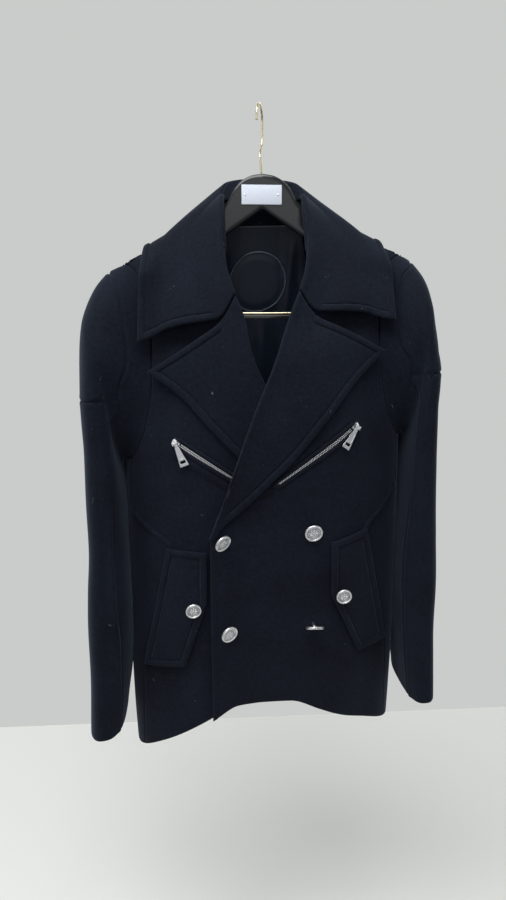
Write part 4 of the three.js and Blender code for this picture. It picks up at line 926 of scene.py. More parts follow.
def back_points(columns=150, low=120, high=60):
    """The grid of the back, from one side seam to the other, with its first row at the hem."""
    c = spaced(columns, 0, 0.5, 1)[None, :]
    row = spaced(low, 0)[:, None]
    turn = lerp(BACK_SEAM, 360 - BACK_SEAM, c)
    z = lerp(HEM["back"](np.abs(body_point(turn, HEM_HEIGHT)[..., 0])), UNDERARM, row)
    lower = body_point(turn + 0 * z, z)
    arm = 90 * (1 - spaced(high, 1))[:, None]
    edge = turn_at(armhole_x("back", arm), UNDERARM)
    x = yoke_x(lerp(edge, -edge, c))
    angle = np.maximum(lerp(neck_dip(x), 90, arm / 90), ridge_seam(x, 1))
    return np.concatenate([lower, shoulder_point(x, angle)[1:]])


for side, hand in HANDS:
    p = mirrored(side, side_points())
    swell = 0.5 * ripple(p, 210, 2 + side)
    made = cloth(f"side_{hand}_cloth", p, CLOTH, relief=swell)
    belongs(made, "coat", "melton_wool", melton, f"side_{hand}")
    declare(made)

p = back_points()
centre = arcs(p, 1) - arcs(p, 1)[:, [p.shape[1] // 2]]
back = cloth("back_cloth", p, CLOTH, relief=folded(p, BACK_FOLDS) + groove(centre, 1.2))
belongs(back, "coat", "melton_wool", melton, "back")
declare(back)

# %% [markdown]
# ## Lapels
#
# A lapel is a leaf: two layers turned right side out, pressed and stitched round, so it is
# thicker than one cloth and stands on the front. A plane could be bent over a curve, but the
# fold would lose its radius. The outline comes from short tables, the first columns roll over
# to the inside, and the raised border follows the free edges at a fixed distance.

# %% The shape of a lapel
LEAF_REST, SEWN_REST, ROLL_BUMP = LEAF + 1.5, LEAF + 0.45, 3
LAPEL_HEIGHTS = (LAPEL_START, -254)  # of the roll line's ends
LAPEL_EDGE = columns(
    ("x", "z"),
    (0, -72, -571), (0.1, -60, -555), (0.28, -26, -525), (0.5, 30, -474),
    (0.72, 76, -423), (0.88, 117, -375), (1, 156, -342),
)
LAPEL_TOP = columns(
    ("x", "z"),
    (0, 41, -254), (0.27, 62, -285.5), (0.55, 102, -312), (0.8, 132, -329), (1, 156, -342),
)
GORGE_SHARE = 0.27  # of the lapel's top that is sewn to the collar
LAPEL_FOLD, COLLAR_FOLD = 3.6, 4.2  # outer radius of the rolled folds
FOLD_STEPS = 12


def rolled(p, radius):
    """Adds a rolled fold before the first column: the leaf turns over and tucks under."""
    out = grid_normals(p)[:, :1]
    inwards = unit(p[:, :1] - p[:, 1:2])
    turn = np.linspace(np.pi, 0, FOLD_STEPS, endpoint=False)[None, :, None]
    roll = p[:, :1] + radius * (inwards * np.sin(turn) - out * (1 - np.cos(turn)))
    return np.concatenate([roll, p], axis=1)


def bowed(table, name, c):
    """How far an end of the leaf bows away from the straight line between its corners."""
    return table[name](c) - lerp(float(table[name](0)), float(table[name](1)), c)


def roll_bump(distance):
    """The leaf stands off its front beside the roll line."""
    return ROLL_BUMP * np.exp(-(distance**2) / 120)


def lapel_points(side, columns=84, rows=120):
    """The grid of a lapel, the share of its width at each point, and its width."""
    w = spaced(rows, 0, 1, reach=0.08)[:, None] ** 0.9
    c = spaced(columns, 0, 1, reach=0.1)[None, :]
    z = lerp(*LAPEL_HEIGHTS, w)
    roll_x = roll_line(side, z)
    edge_x, edge_z = LAPEL_EDGE["x"](w), LAPEL_EDGE["z"](w)
    width = np.hypot(edge_x - roll_x, edge_z - z)
    c = lerp(np.minimum(LAPEL_FOLD / width, 0.4), 1, c)
    bend = w**7
    x = lerp(roll_x, edge_x, c) + bend * bowed(LAPEL_TOP, "x", c)
    z = lerp(z, edge_z, c) + bend * bowed(LAPEL_TOP, "z", c)
    roll = roll_bump(c * width)
    if side < 0:
        roll = roll * smooth(-380, -335, z)
    rest = lerp(SEWN_REST, LEAF_REST, smooth(0, 0.2, c))
    p = on_front(x, z, front_lift(side, x, z) + rest + roll)
    return rolled(p, LAPEL_FOLD), np.pad(c, ((0, 0), (FOLD_STEPS, 0))), width


print("a lapel folds over along", LAPEL_HEIGHTS[1] - LAPEL_HEIGHTS[0], "mm of the front's height")

# %% Lapels
for side, hand in HANDS:
    p, c, width = lapel_points(side)
    across, along = arcs(p, 1), arcs(p, 0)
    outer = across[:, -1:] - across
    top = along[-1:] - along + 60 * (1 - smooth(GORGE_SHARE - 0.05, GORGE_SHARE + 0.03, c))
    wide = smooth(2.2 * BAND, 3.2 * BAND, width)
    border = np.minimum(outer, top)
    opened = smooth(GORGE_SHARE, GORGE_SHARE + 0.2, c) * np.exp(-((top / 40) ** 2))
    relief = bead(border) * wide + 0.7 * ripple(p, 120, 4 + side) * smooth(0, 0.4, c) + 5 * opened
    run = np.where(outer < top, along, across)
    values = stitch_line(border, run, wide)
    if side < 0:
        p, relief = mirrored(-1, p), relief[:, ::-1]
        values = {key: value[:, ::-1] for key, value in values.items()}
    made = cloth(f"lapel_{hand}_cloth", p, LEAF, relief=relief, values=values)
    belongs(made, "coat", "melton_wool", melton, f"lapel_{hand}")
    declare(made)

# %% [markdown]
# ## Collar
#
# The collar is one more leaf. It folds over at the neck, lies on the lapels in front and
# stands free behind. A cloth simulation would settle it, and differently each time, so a table
# gives the fold and the free edge at seven places round half the neck. The other half is its
# mirror image, and points that would sink into the shoulder are pushed out of it.

# %% The shape of the collar
COLLAR_OVER_SLEEVE, COLLAR_BULGE = 19, 7
COLLAR = columns(
    ("fx", "fy", "fz", "ex", "ey", "ez"),
    (0, 42, -91, -251, 168, -92, -303),
    (1, 53, -76, -215, 168, -77, -260),
    (2, 57, -40, -166, 168, -56, -222),
    (3, 57, 0, -118, 165, -22, -192),
    (4, 49, 26, -95, 150, 24, -196),
    (5, 28, 40, -89, 88, 66, -196),
    (6, 0, 44, -88, 0, 80, -192),
)
COLLAR_END = columns(
    ("x", "z"), (0, 42, -251), (0.25, 66, -281), (0.6, 122, -289), (1, 168, -303)
)


def drape(p, clear):
    """Pushes points out until they lie clear of the form by the given distance."""
    x, y, z = p[..., 0], p[..., 1], p[..., 2]
    middle = ridge_depth(x)
    side = np.where(y < middle, -1, 1)
    m = SHOULDER_POWER
    reach = np.abs(DEPTH_CENTRE + side * half_depth(x, UNDERARM, side) - middle) + clear
    rise = (z - UNDERARM) / (shoulder_height(x) - UNDERARM + clear)
    level = (np.abs((y - middle) / reach) ** m + np.abs(rise) ** m) ** (1 / m)
    beside = points(x, middle + side * reach * np.maximum(1 - np.abs(rise) ** m, 0) ** (1 / m), z)
    level = np.minimum(level, 1)
    above = points(x, middle + (y - middle) / level, UNDERARM + (z - UNDERARM) / level)
    pushed = np.where((rise < 0.88)[..., None], beside, above)
    return np.where((level >= 1)[..., None], p, pushed)


def collar_half(s, c):
    """Half the collar: s runs from its front end, 0, to the middle behind, 6."""
    at = {name: column(s) for name, column in COLLAR.items()}
    span = np.sqrt(sum((at["e" + axis] - at["f" + axis]) ** 2 for axis in "xyz"))
    c = lerp(COLLAR_FOLD / span, 1, c)
    laid = 1 - smooth(1.1, 2.7, s)
    bend = (1 - s / 6) ** 12
    x = lerp(at["fx"], at["ex"], c) + bend * bowed(COLLAR_END, "x", c)
    z = lerp(at["fz"], at["ez"], c) + bend * bowed(COLLAR_END, "z", c)
    roll = roll_bump(c * span)
    bulge = COLLAR_BULGE * np.sin(np.pi * np.minimum(c * 1.15, 1)) * (1 - laid)
    free = points(x, lerp(at["fy"], at["ey"], c), z + bulge)
    rests = (z < shoulder_height(x))[..., None]
    lying = np.where(rests, on_front(x, z, LEAF_REST + roll), free)
    p = drape(lerp(free, lying, laid[..., None]), LEAF_REST + 2)
    p[..., 1] -= COLLAR_OVER_SLEEVE * smooth(135, 168, x) * (1 - smooth(1.8, 3.2, s))
    return rolled(p, COLLAR_FOLD)


def with_mirror(half):
    """The half that is given, then its mirror image from the middle on."""
    return np.concatenate([half, (half * (-1, 1, 1))[-2::-1]])


print("the collar is", round(abs(float(COLLAR["ez"](6) - COLLAR["fz"](6)))), "mm deep behind")

# %% Collar
s = 6 * spaced(132, 0, reach=0.05)[:, None]
c = spaced(74, 0, 1, reach=0.1)[None, :]
half = collar_half(s, c)
c = np.pad(c, ((0, 0), (FOLD_STEPS, 0)))
p = with_mirror(half)
across, along = arcs(p, 1), arcs(p, 0)
end = np.minimum(along, along[-1:] - along) + 60 * (1 - smooth(0.2, 0.26, c))
border = np.minimum(across[:, -1:] - across, end)
run = np.where(across[:, -1:] - across < end, along, across)
opened = smooth(0.2, 0.45, c) * (1 - 0.5 * smooth(0.7, 1, c)) * np.exp(-((end / 45) ** 2))
relief = bead(border) + 0.8 * ripple(p, 130, 5) * smooth(0, 0.3, c) + 7 * opened
values = stitch_line(border, run)
made = cloth("collar_cloth", p, LEAF, relief=relief, values=values)
belongs(made, "coat", "melton_wool", melton, "collar")
declare(made)


# %% [markdown]
# ## Collar stand
#
# The stand is the short upright wall under the collar's fold. It carries the collar and hides
# the neck's raw edge. It could be extruded from the neck, but it must also meet the fold, so
# its grid is spanned from the one to the other.

# %% Collar stand
def stand_half(s, t):
    """Half the stand: t runs from its seat on the neck up into the collar's fold."""
    fold = points(COLLAR["fx"](s), COLLAR["fy"](s), COLLAR["fz"](s))
    along = np.clip((s - 3) / 3, 0, 1)
    before = s < 3
    x = np.where(before, fold[..., 0], NECK_SIDE * np.cos(along * np.pi / 2))
    front_seat = front_point(fold[..., 0] + 2, np.minimum(fold[..., 2] - 10, -135))
    seat = np.where(before[..., None], front_seat, shoulder_point(x, neck_dip(x)))
    p = lerp(seat, fold, (0.06 + 0.9 * t)[..., None])
    inwards = unit(points(-p[..., 0], np.where(before, 0, -p[..., 1]), 0))
    reach = np.where(before, lerp(3.2, 0.6, t), lerp(5.4, 3.4, t))
    return p + inwards * reach[..., None]


s = np.linspace(1.2, 6, 66)[:, None]
p = with_mirror(stand_half(s, spaced(18, 0, 1, reach=0.1)[None, :]))
made = cloth("collar_stand_cloth", p, CLOTH)
belongs(made, "coat", "melton_wool", melton, "collar_stand")
declare(made)

# %% [markdown]
# ## Pocket flaps
#
# A flap is a leaf with a slanted top, sewn down along its outer edge and loose towards the
# middle. A cut-out plane would need its corners rounded by hand, so a grid is laid between
# four sides, and the inner side has a corner where the point starts.

# %% Pocket flaps
FLAP = {
    "top_outer": (139, -586), "top_inner": (84, -593), "bottom_outer": (175, -764),
    "corner_x": 85, "corner": 0.43,
}
FLAP_TIP = {1: (130, -768), -1: (116, -762)}
FLAP_LOOSE = 3


def flap_points(side, columns=50, rows=92):
    """The grid of a flap: u runs from the inner side out, v from the point up."""
    v = spaced(rows, 0, 1, reach=0.08)[:, None]
    u = spaced(columns, 0, 1, reach=0.18)[None, :]
    outer_x = lerp(FLAP["bottom_outer"][0], FLAP["top_outer"][0], v)
    outer_z = lerp(FLAP["bottom_outer"][1], FLAP["top_outer"][1], v)
    tip = FLAP_TIP[side]
    corner_z = lerp(FLAP["top_inner"][1], tip[1], FLAP["corner"])
    turn = 1 - FLAP["corner"]
    inner_x = np.interp(v, (0, turn, 1), (tip[0], FLAP["corner_x"], FLAP["top_inner"][0]))
    inner_z = np.interp(v, (0, turn, 1), (tip[1], corner_z, FLAP["top_inner"][1]))
    x, z = lerp(inner_x, outer_x, u), lerp(inner_z, outer_z, u)
    loose = FLAP_LOOSE * (1 - u) * np.sin(np.pi * np.clip(1.15 - v, 0, 1))
    rest = lerp(LEAF_REST, SEWN_REST, smooth(0.6, 0.95, u))
    return on_front(x, z, front_lift(side, x, z) + rest + loose)


for side, hand in HANDS:
    p = mirrored(side, flap_points(side))
    across, along = arcs(p, 1), arcs(p, 0)
    ends = np.minimum(along, along[-1:] - along)
    border = np.minimum(ends, np.minimum(across, across[:, -1:] - across))
    values = stitch_line(border, np.where(ends > border, along, across))
    made = cloth(f"flap_{hand}_cloth", p, LEAF, relief=bead(border), values=values)
    belongs(made, "coat", "melton_wool", melton, f"flap_{hand}")
    declare(made)

# %% [markdown]
# ## Sleeves
#
# A sleeve is a tube: its first ring is the armhole and the last its cuff, and the rings
# between them hang from the shoulder. On the real coat it is three pieces: a shoulder panel,
# an outer and an under panel. They could be three meshes, but closed seams would have to meet
# to a hair, so the tube is one mesh and each seam is a groove pressed into it.

# %% Tables for the sleeves
SLEEVE = columns(
    ("ox", "oz", "ix", "iz", "y", "depth", "level", "free"),
    (0, 193, -207, 198, -460, -22, 66, 0, 0),
    (1, 206, -212, 201, -466, -24, 70, 0.15, 0.32),
    (2, 221, -224, 203, -470, -26, 74, 0.28, 0.6),
    (3, 236, -247, 202, -474, -28, 76, 0.41, 0.85),
    (4, 247, -279, 201.5, -478, -30, 77, 0.5, 1),
    (5, 255, -311, 201, -482, -32, 77, 0.62, 1),
    (6, 259, -342, 200.5, -487, -34, 76, 0.78, 1),
    (7, 260, -372, 200, -494, -36, 76, 1, 1),
    (8, 258, -435, 199, -515, -39, 75, 0.8, 1),
    (9, 257, -500, 196, -552, -42, 75, 0.4, 1),
    (10, 257, -570, 195, -600, -45, 74, 0, 1),
    (11, 258, -640, 195, -655, -48, 73, 0, 1),
    (12, 260, -712, 196, -716, -51, 72, 0, 1),
    (13, 262, -785, 200, -784, -55, 71, 0, 1),
    (14, 263, -857, 208, -854, -59, 70, 0, 1),
)
SLEEVE_TURN = curve((0, 0), (22, 44), (50, 88), (77, 128), (90, 153))  # by armhole angle
UNDER_START = 153  # degrees from the top, where the underside starts
SLEEVE_POWER, LEVEL_LIMIT = 2.7, -0.34  # how square the tube is, and where its rings dip
CLOSER = {  # how much closer to the body the outer side hangs
    "left": curve(
        (0, 0), (1, 0), (2, 3), (3, 8), (4, 14), (5, 17), (6, 17), (7, 15), (9, 14), (14, 12)
    ),
    "right": curve(
        (0, 0), (1, -2), (2, -7), (3, -6), (4, -4), (5, 0), (6, 3), (7, 4), (9, 4), (14, 4)
    ),
}
RISE = {  # how much higher the outer side is
    "left": curve((0, 0), (14, 0)),
    "right": curve((0, 0), (1, 1), (2, 3), (3, 7), (4, 9), (5, 8), (6, 3), (7, 0), (14, 0)),
}
SEAM_TURN = {  # where the front seam lies round the sleeve
    "left": curve((0, 124), (3, 128), (5, 128), (7, 126), (9, 134), (11, 143), (14, 145)),
    "right": curve(
        (0, 124), (3, 130), (5, 128), (7, 123), (9, 117), (10, 112), (11, 112), (12, 123), (14, 142)
    ),
}
ROWS = 14  # from the armhole, row 0, to the cuff
EASED_STEPS = np.linspace(-1.6, 1.6, 7)  # rows averaged where the inner side turns in
ARM_SHARE = 0.42  # of the columns lie on the armhole's front, and as many on its back
SEAM_ANGLE = 77  # on the armhole, where the long seams start
CAP_TOP, CAP_BOTTOM = 2, {"left": 7.11, "right": 7}  # rows at which the shoulder panel ends
CAP_EDGE = {"left": 0.6, "right": 0.25}  # rows that the cap's front seam is nearer the armhole
SAG = 0.8  # rows that the rings sag on their inner side
BODY_GAP = 0.9  # between a sleeve's inner side and the body
SLEEVE_FOLDS = {
    "left": [
        (236, -400, 214, -560, 16, -2.6), (244, -560, 232, -820, 15, 2.2),
        (216, -600, 226, -840, 12, -2.4), (232, -250, 212, -440, 13, -1.8),
    ],
    "right": [
        (-238, -420, -216, -600, 16, -2.6), (-246, -600, -240, -850, 14, 2.4),
        (-220, -560, -222, -850, 12, -2.6), (-228, -260, -212, -460, 13, -2.0),
    ],
}
print("sleeve:", round(SLEEVE["oz"](0) - SLEEVE["oz"](ROWS)), "mm from the shoulder to the cuff")


# %% The shape of a sleeve
def seam_share(turn):
    """The share of the columns at which the sleeve's ring has turned so far."""
    angles = np.linspace(0, 90, 181)
    return np.interp(turn, SLEEVE_TURN(angles), ARM_SHARE * angles / 90)


def beside_body(p, clear):
    """Pushes a sleeve's inner side out of the body, so that it rests against it."""
    x, y, z = p[..., 0], p[..., 1], p[..., 2]
    n = SECTION["power"](z)
    depth = np.where(y < DEPTH_CENTRE, SECTION["front"](z), SECTION["back"](z))
    share = np.maximum(1 - np.abs((y - DEPTH_CENTRE) / depth) ** n, 0) ** (1 / n)
    limit = SECTION["width"](z) * share + clear
    pushed = (z < UNDERARM - 4) & (x < limit)
    return points(np.where(pushed, limit, x), y, z), pushed


def sleeve_points(q, k, hand):
    """The sleeve at q, a share of the way round from its top, and at row k of the tables."""
    fore = np.clip(q / ARM_SHARE, 0, 1) * 90
    aft = np.clip((1 - q) / ARM_SHARE, 0, 1) * 90
    share = np.clip((q - ARM_SHARE) / (1 - 2 * ARM_SHARE), 0, 1)
    theta = np.where(q < 0.5, SLEEVE_TURN(fore), 360 - SLEEVE_TURN(aft))
    under = (q > ARM_SHARE) & (q < 1 - ARM_SHARE)
    theta = np.where(under, lerp(UNDER_START, 360 - UNDER_START, share), theta)
    before = shoulder_point(ARMHOLE["front"](fore), -np.maximum(fore, 0.01))
    behind = shoulder_point(ARMHOLE["back"](aft), aft)
    side_turn = float(turn_at(SIDE_SEAM(UNDERARM), UNDERARM))
    below = body_point(lerp(side_turn, BACK_SEAM, share), UNDERARM)
    seam = np.where((q < 0.5)[..., None], before, behind)
    seam = np.where(under[..., None], below, seam)
    at = {name: column(k) for name, column in SLEEVE.items()}
    c = cosine(theta)
    drop = lerp((1 - c) / 2, smooth(LEVEL_LIMIT, -1, c), at["level"])
    square = 2 / lerp(2, SLEEVE_POWER, smooth(5, 9, k))
    own = points(
        lerp(at["ox"] - CLOSER[hand](k), at["ix"], (1 - power(c, square)) / 2),
        at["y"] - at["depth"] * power(sine(theta), square),
        lerp(at["oz"] + RISE[hand](k), at["iz"], drop),
    )
    return lerp(seam, own, at["free"][..., None])


def bent_columns(q, k, front_seam, back_seam, hand):
    """Moves the columns round the sleeve, so that one of them runs along the front seam."""
    seam_at = seam_share(SEAM_TURN[hand](k))
    between_seams = lerp(seam_at, back_seam, (q - front_seam) / (back_seam - front_seam))
    bent = np.where(q < front_seam, q / front_seam * seam_at, between_seams)
    return np.where(q >= back_seam, q, bent)


def hung_sleeve(q, k, front_seam, back_seam, hand):
    """The sleeve's grid, sagging at its sides, eased inside and kept out of the body."""
    bent = bent_columns(q, k, front_seam, back_seam, hand)
    from_top = np.minimum(q, 1 - q)
    sag = SAG * smooth(0.24, 0.36, from_top) * np.minimum(k / 2, np.clip((7 - k) / 5, 0, 1))
    closer = smooth(0.05, 0.14, from_top) * (1 - smooth(0.27, 0.35, from_top))
    sag = sag - CAP_EDGE[hand] * closer * np.interp(k, (0, 2, 5), (0, 1, 0))
    crisp = sleeve_points(bent, k + sag, hand)
    eased = np.mean([sleeve_points(bent, k + sag + step, hand) for step in EASED_STEPS], axis=0)
    share = smooth(0.23, 0.3, from_top) * np.interp(k, (2, 4.5, 8.5, 11), (0, 1, 1, 0))
    return beside_body(lerp(crisp, eased, share[..., None]), BODY_GAP)


print("front seam at", round(float(seam_share(SEAM_TURN["left"](ROWS))), 3), "of the way round the cuff")

# %% Sleeves
SEAM_PUFF, SEAM_PUFF_HALF, SLEEVE_SWELL, SWELL_SIZE = 1.3, 7, 1.3, 150
seam_q = ARM_SHARE * SEAM_ANGLE / 90
q = spaced(150, seam_q, 1 - seam_q, reach=0.02, times=4)[None, :]
columns_at = [int(np.argmin(np.abs(q[0] - place))) for place in (seam_q, 1 - seam_q)]
front_seam, back_seam = (q[0, j] for j in columns_at)
inner_side = (q > front_seam) & (q < back_seam)
outer = smooth(front_seam + 0.01, front_seam, q) + smooth(back_seam - 0.01, back_seam, q)
for side, hand in HANDS:
    seams_at = (CAP_TOP, CAP_BOTTOM[hand])
    near_rows = [0, *(row / ROWS for row in seams_at), 1]
    k = ROWS * spaced(190, *near_rows, reach=0.018, times=4)[:, None]
    top_row, level_row = (int(np.argmin(np.abs(k[:, 0] - row))) for row in seams_at)
    p, pushed = hung_sleeve(q, k, front_seam, back_seam, hand)
    round_way, down = arcs(p, 1), arcs(p, 0)
    long_seam = np.min([np.abs(round_way - round_way[:, [j]]) for j in columns_at], axis=0)
    top_seam = np.abs(down - down[[top_row]])
    level_seam = np.abs(p[..., 2] - p[level_row, 0, 2])
    relief = groove(long_seam, 1.8) * smooth(CAP_TOP - 0.1, CAP_TOP, k)
    relief = relief + groove(top_seam, 2.4) * outer
    relief = relief + groove(level_seam, 1.9) * outer * smooth(CAP_TOP + 0.05, CAP_TOP + 0.4, k)
    puff = np.where(inner_side, 0, SEAM_PUFF * hill(long_seam, SEAM_PUFF_HALF))
    relief = relief + puff * smooth(CAP_TOP - 0.1, CAP_TOP + 0.1, k)
    relief = relief + folded(p * (side, 1, 1), SLEEVE_FOLDS[hand])
    relief = relief + SLEEVE_SWELL * k / ROWS * ripple(p, SWELL_SIZE, 7 + side)
    relief = np.where(pushed, 0, relief)
    p = mirrored(side, p)
    relief = relief if side > 0 else relief[:, ::-1]
    made = cloth(f"sleeve_{hand}_cloth", p, CLOTH, closed=True, relief=relief)
    nodes = [f"sleeve_{part}_{hand}" for part in ("cap", "outer", "under")]
    belongs(made, "coat", "melton_wool", melton, *nodes)
    declare(made)

# %% [markdown]
# ## Lining
#
# Only the back of the lining shows, through the open neck. It is a thin satin that hangs
# inside the back with soft pleats. The back's own inner wall could take the satin, but the
# lining hangs clear of it, so it is a grid of its own, laid inside the form.

# %% Lining
LINING_GAP = 5.6  # between the back's cloth and the lining
SATIN_REST = CLOTH + LINING_GAP + SATIN
LINING_HALF, LINING_DROP, LINING_TOP, FACING_BOTTOM = 138, -560, 38, -152
LINING_FOLDS = [
    (-58, -170, -44, -330, 7, 2.2), (-40, -190, -52, -420, 9, -1.8), (48, -165, 40, -300, 6, 2.0),
    (64, -180, 60, -420, 9, -1.8), (6, -290, 0, -540, 8, 2.2), (-80, -200, -86, -520, 14, 2.2),
    (90, -200, 84, -520, 14, 2.2), (30, -300, 34, -540, 10, -1.6),
]


def inside_back(x, z, lift):
    """A point on the lining's inner face, lifted off it towards the front."""
    def at(dx, dz):
        low = body_point(180 - turn_at(x + dx, z + dz), z + dz)
        high = shoulder_point(x + dx, shoulder_angle(x + dx, z + dz))
        return np.where((z < UNDERARM)[..., None], low, high)

    out = unit(np.cross(at(0, 1) - at(0, -1), at(1, 0) - at(-1, 0)))
    return at(0, 0) - out * (SATIN_REST + lift)


up = spaced(110, 0, 1)[:, None]
x = LINING_HALF * (2 * spaced(110, 0, 1) - 1)[None, :]
top = shoulder_point(x, LINING_TOP * smooth(45, 75, np.abs(x)))[..., 2]
z = lerp(LINING_DROP, np.minimum(top, FACING_BOTTOM), up)
p = inside_back(x + 0 * z, z, 0)
folds = folded(p, LINING_FOLDS) * smooth(0, 0.12, 1 - up)
lining = cloth("lining_cloth", p, SATIN, relief=folds, roll=1.2)
belongs(lining, "coat", "lining_satin", satin, "lining_back")
declare(lining)

# %% [markdown]
# ## Patch
#
# A bare round patch of the same satin is sewn on the lining, with a padded middle and a corded
# edge. A circle primitive has all its corners in the middle or at the rim, so a square grid is
# eased into a disc instead, and it can be laid and measured as the other cloths are.

# %% Patch
PATCH = {"x": -3, "z": -231, "radius": 45, "thick": 1.2, "rest": 1}
PATCH_PAD = 0.8
a = np.linspace(-1, 1, 61)[None, :]
b = np.linspace(-1, 1, 61)[:, None]
u, v = a * np.sqrt(1 - b * b / 2), b * np.sqrt(1 - a * a / 2)
lift = PATCH["rest"] + PATCH["thick"]
p = inside_back(PATCH["x"] + PATCH["radius"] * u, PATCH["z"] + PATCH["radius"] * v, lift)
crown = PATCH_PAD * (1 - smooth(0.7, 0.93, np.hypot(u, v)))
patch = cloth("patch_cloth", p, PATCH["thick"], relief=crown, roll=1)
belongs(patch, "coat", "lining_satin", satin, "lining_patch")
print(patch.name, 2 * PATCH["radius"], "mm across")

# %% [markdown]
# ## Cord round the patch
#
# Piping is a cord in a silk cover. A bevelled curve could make it, but its mesh would be left
# to the export, so rings are carried along a path here and closed at the ends. The same tube
# makes the wire of the hook and bar, and the shanks of the buttons.

# %% Cord round the patch
CORD_RADIUS, CORD_PLACE = 0.9, 0.965


def tube(name, path, radius, sides=16):
    """A round tube through points in millimetres, with flat closed ends."""
    path = np.asarray(path, float)
    ahead = unit(np.gradient(path, axis=0))
    across = unit(np.cross(ahead[0], (0.3, 0.5, 0.81)))
    rings = []
    for place, way in zip(path, ahead):
        across = unit(across - way * (across @ way))
        up = np.cross(way, across)
        turn = np.linspace(0, 2 * np.pi, sides + 1)[:, None]
        rings.append(place + radius * (np.cos(turn) * across + np.sin(turn) * up))
    return grid_object(name, np.array(rings), closed=True, fill=True)


turn = np.linspace(0, 2 * np.pi, 121)
edge = CORD_PLACE * PATCH["radius"]
x, z = PATCH["x"] + edge * np.cos(turn), PATCH["z"] + edge * np.sin(turn)
cord = tube("patch_cord", hang(inside_back(x, z, lift + CORD_RADIUS)), CORD_RADIUS, 10)
belongs(cord, "coat", "lining_satin", thread)
declare(patch)

# %% [markdown]
# ## Hanger
#
# The hanger is moulded plastic, lacquered black, and slopes like the shoulders that it
# carries. It could be cut from a block with booleans, but its section changes all the way
# along, so rings are lofted from tables and their ends are closed.

# %% Hanger body
HANGER = columns(
    ("top", "height", "half"),
    (0, -89, 47, 6.5), (12, -90.5, 52.5, 6.5), (24, -95, 55, 6.5), (38, -107.5, 51, 6.5),
    (50, -127, 40, 6.5), (60, -134, 40, 7), (78, 0, 42, 9), (105, 0, 42, 11.5),
    (135, 0, 40, 12), (160, 0, 34, 10), (176, 0, 26, 7), (182, 0, 14, 4),
)
NECK_TOP = curve((0, -89), (12, -90.5), (24, -95), (38, -107.5), (50, -127), (60, -134))
HANGER_HALF, ARM_CLEARANCE, ARM_SQUARENESS, NECK_SQUARENESS = 182, 3.2, 2.2, 3.6
UNDERSIDE_HEIGHT, UNDERSIDE_SLOPE = -136, 0.667  # the straight lower edge near the neck
TIP_START, TIP_LENGTH = 174, 8.2  # the arm is rounded over towards its tip


def hanger_top(x):
    x = np.abs(x)
    arm = shoulder_height(x) - CLOTH - ARM_CLEARANCE
    return np.where(x < 60, NECK_TOP(x), lerp(-134, arm, smooth(60, 78, x)))


x = HANGER_HALF * (2 * spaced(150, 0, 1, reach=0.03) - 1)[:, None]
turn = np.linspace(0, 360, 73)[None, :]
e = 2 / lerp(NECK_SQUARENESS, ARM_SQUARENESS, smooth(58, 90, np.abs(x)))
top = hanger_top(x)
straight = top - UNDERSIDE_HEIGHT + UNDERSIDE_SLOPE * np.abs(x)
height = lerp(straight, HANGER["height"](np.abs(x)), smooth(58, 82, np.abs(x)))
half = HANGER["half"](np.abs(x))
tip = np.sqrt(1 - np.clip((np.abs(x) - TIP_START) / TIP_LENGTH, 0, 1) ** 2)
y = ridge_depth(x) + half * tip * power(cosine(turn), e)
z = top - height / 2 + height / 2 * tip * power(sine(turn), e)
hanger = grid_object("hanger_body", hang(points(x + 0 * y, y, z)), closed=True, fill=True)
belongs(hanger, "coat", "hanger_lacquer", lacquer, "hanger")
print(hanger.name, 2 * HANGER_HALF, "mm wide,", len(hanger.data.polygons), "faces")

# %% [markdown]
# ## Hook and bar
#
# Both are one wire bent cold and plated. Boxes and tori could be joined into a hook, but a
# wire has no joins: a smooth curve through a few places gives the path, and a tube follows it.
# The hook is swivelled edge-on, and the bar's ends run up into the arms.

# %% Hook and bar
def through(places, steps):
    """A smooth path through places, by Catmull-Rom pieces."""
    places = np.array([places[0], *places, places[-1]], float)
    t = np.linspace(0, 1, steps, endpoint=False)[:, None]
    parts = []
    for a, b, c, d in zip(places, places[1:], places[2:], places[3:]):
        linear_part = (c - a) * t + (2 * a - 5 * b + 4 * c - d) * t**2
        parts.append(0.5 * (2 * b + linear_part + (3 * b - a - 3 * c + d) * t**3))
    return np.concatenate([*parts, places[-1:]])


HOOK_WIRE, HOOK_RADIUS, HOOK_SWIVEL, BAR_WIRE = 3.4, 20, 75, 3.6
reach = HOOK_RADIUS + HOOK_WIRE / 2
bends = (190, 160, 130, 100, 70, 40, 15, -8)
arc = [(reach * cosine(bend), reach * sine(bend) - HOOK_RADIUS) for bend in bends]
stem = [(21, -36), (17, -48), (7, -57), (1, -66), (0, -78), (0, -88)]
hook = [
    (
        out * cosine(HOOK_SWIVEL) + 2.5 * smooth(-60, -86, up),
        out * sine(HOOK_SWIVEL) - 2 * smooth(-50, -70, up),
        up,
    )
    for out, up in [*arc, *stem]
]
made = tube("hook_wire", through(hook, 8), HOOK_WIRE / 2, 20)
belongs(made, "coat", "hook_gold", gold, "hanger_hook")

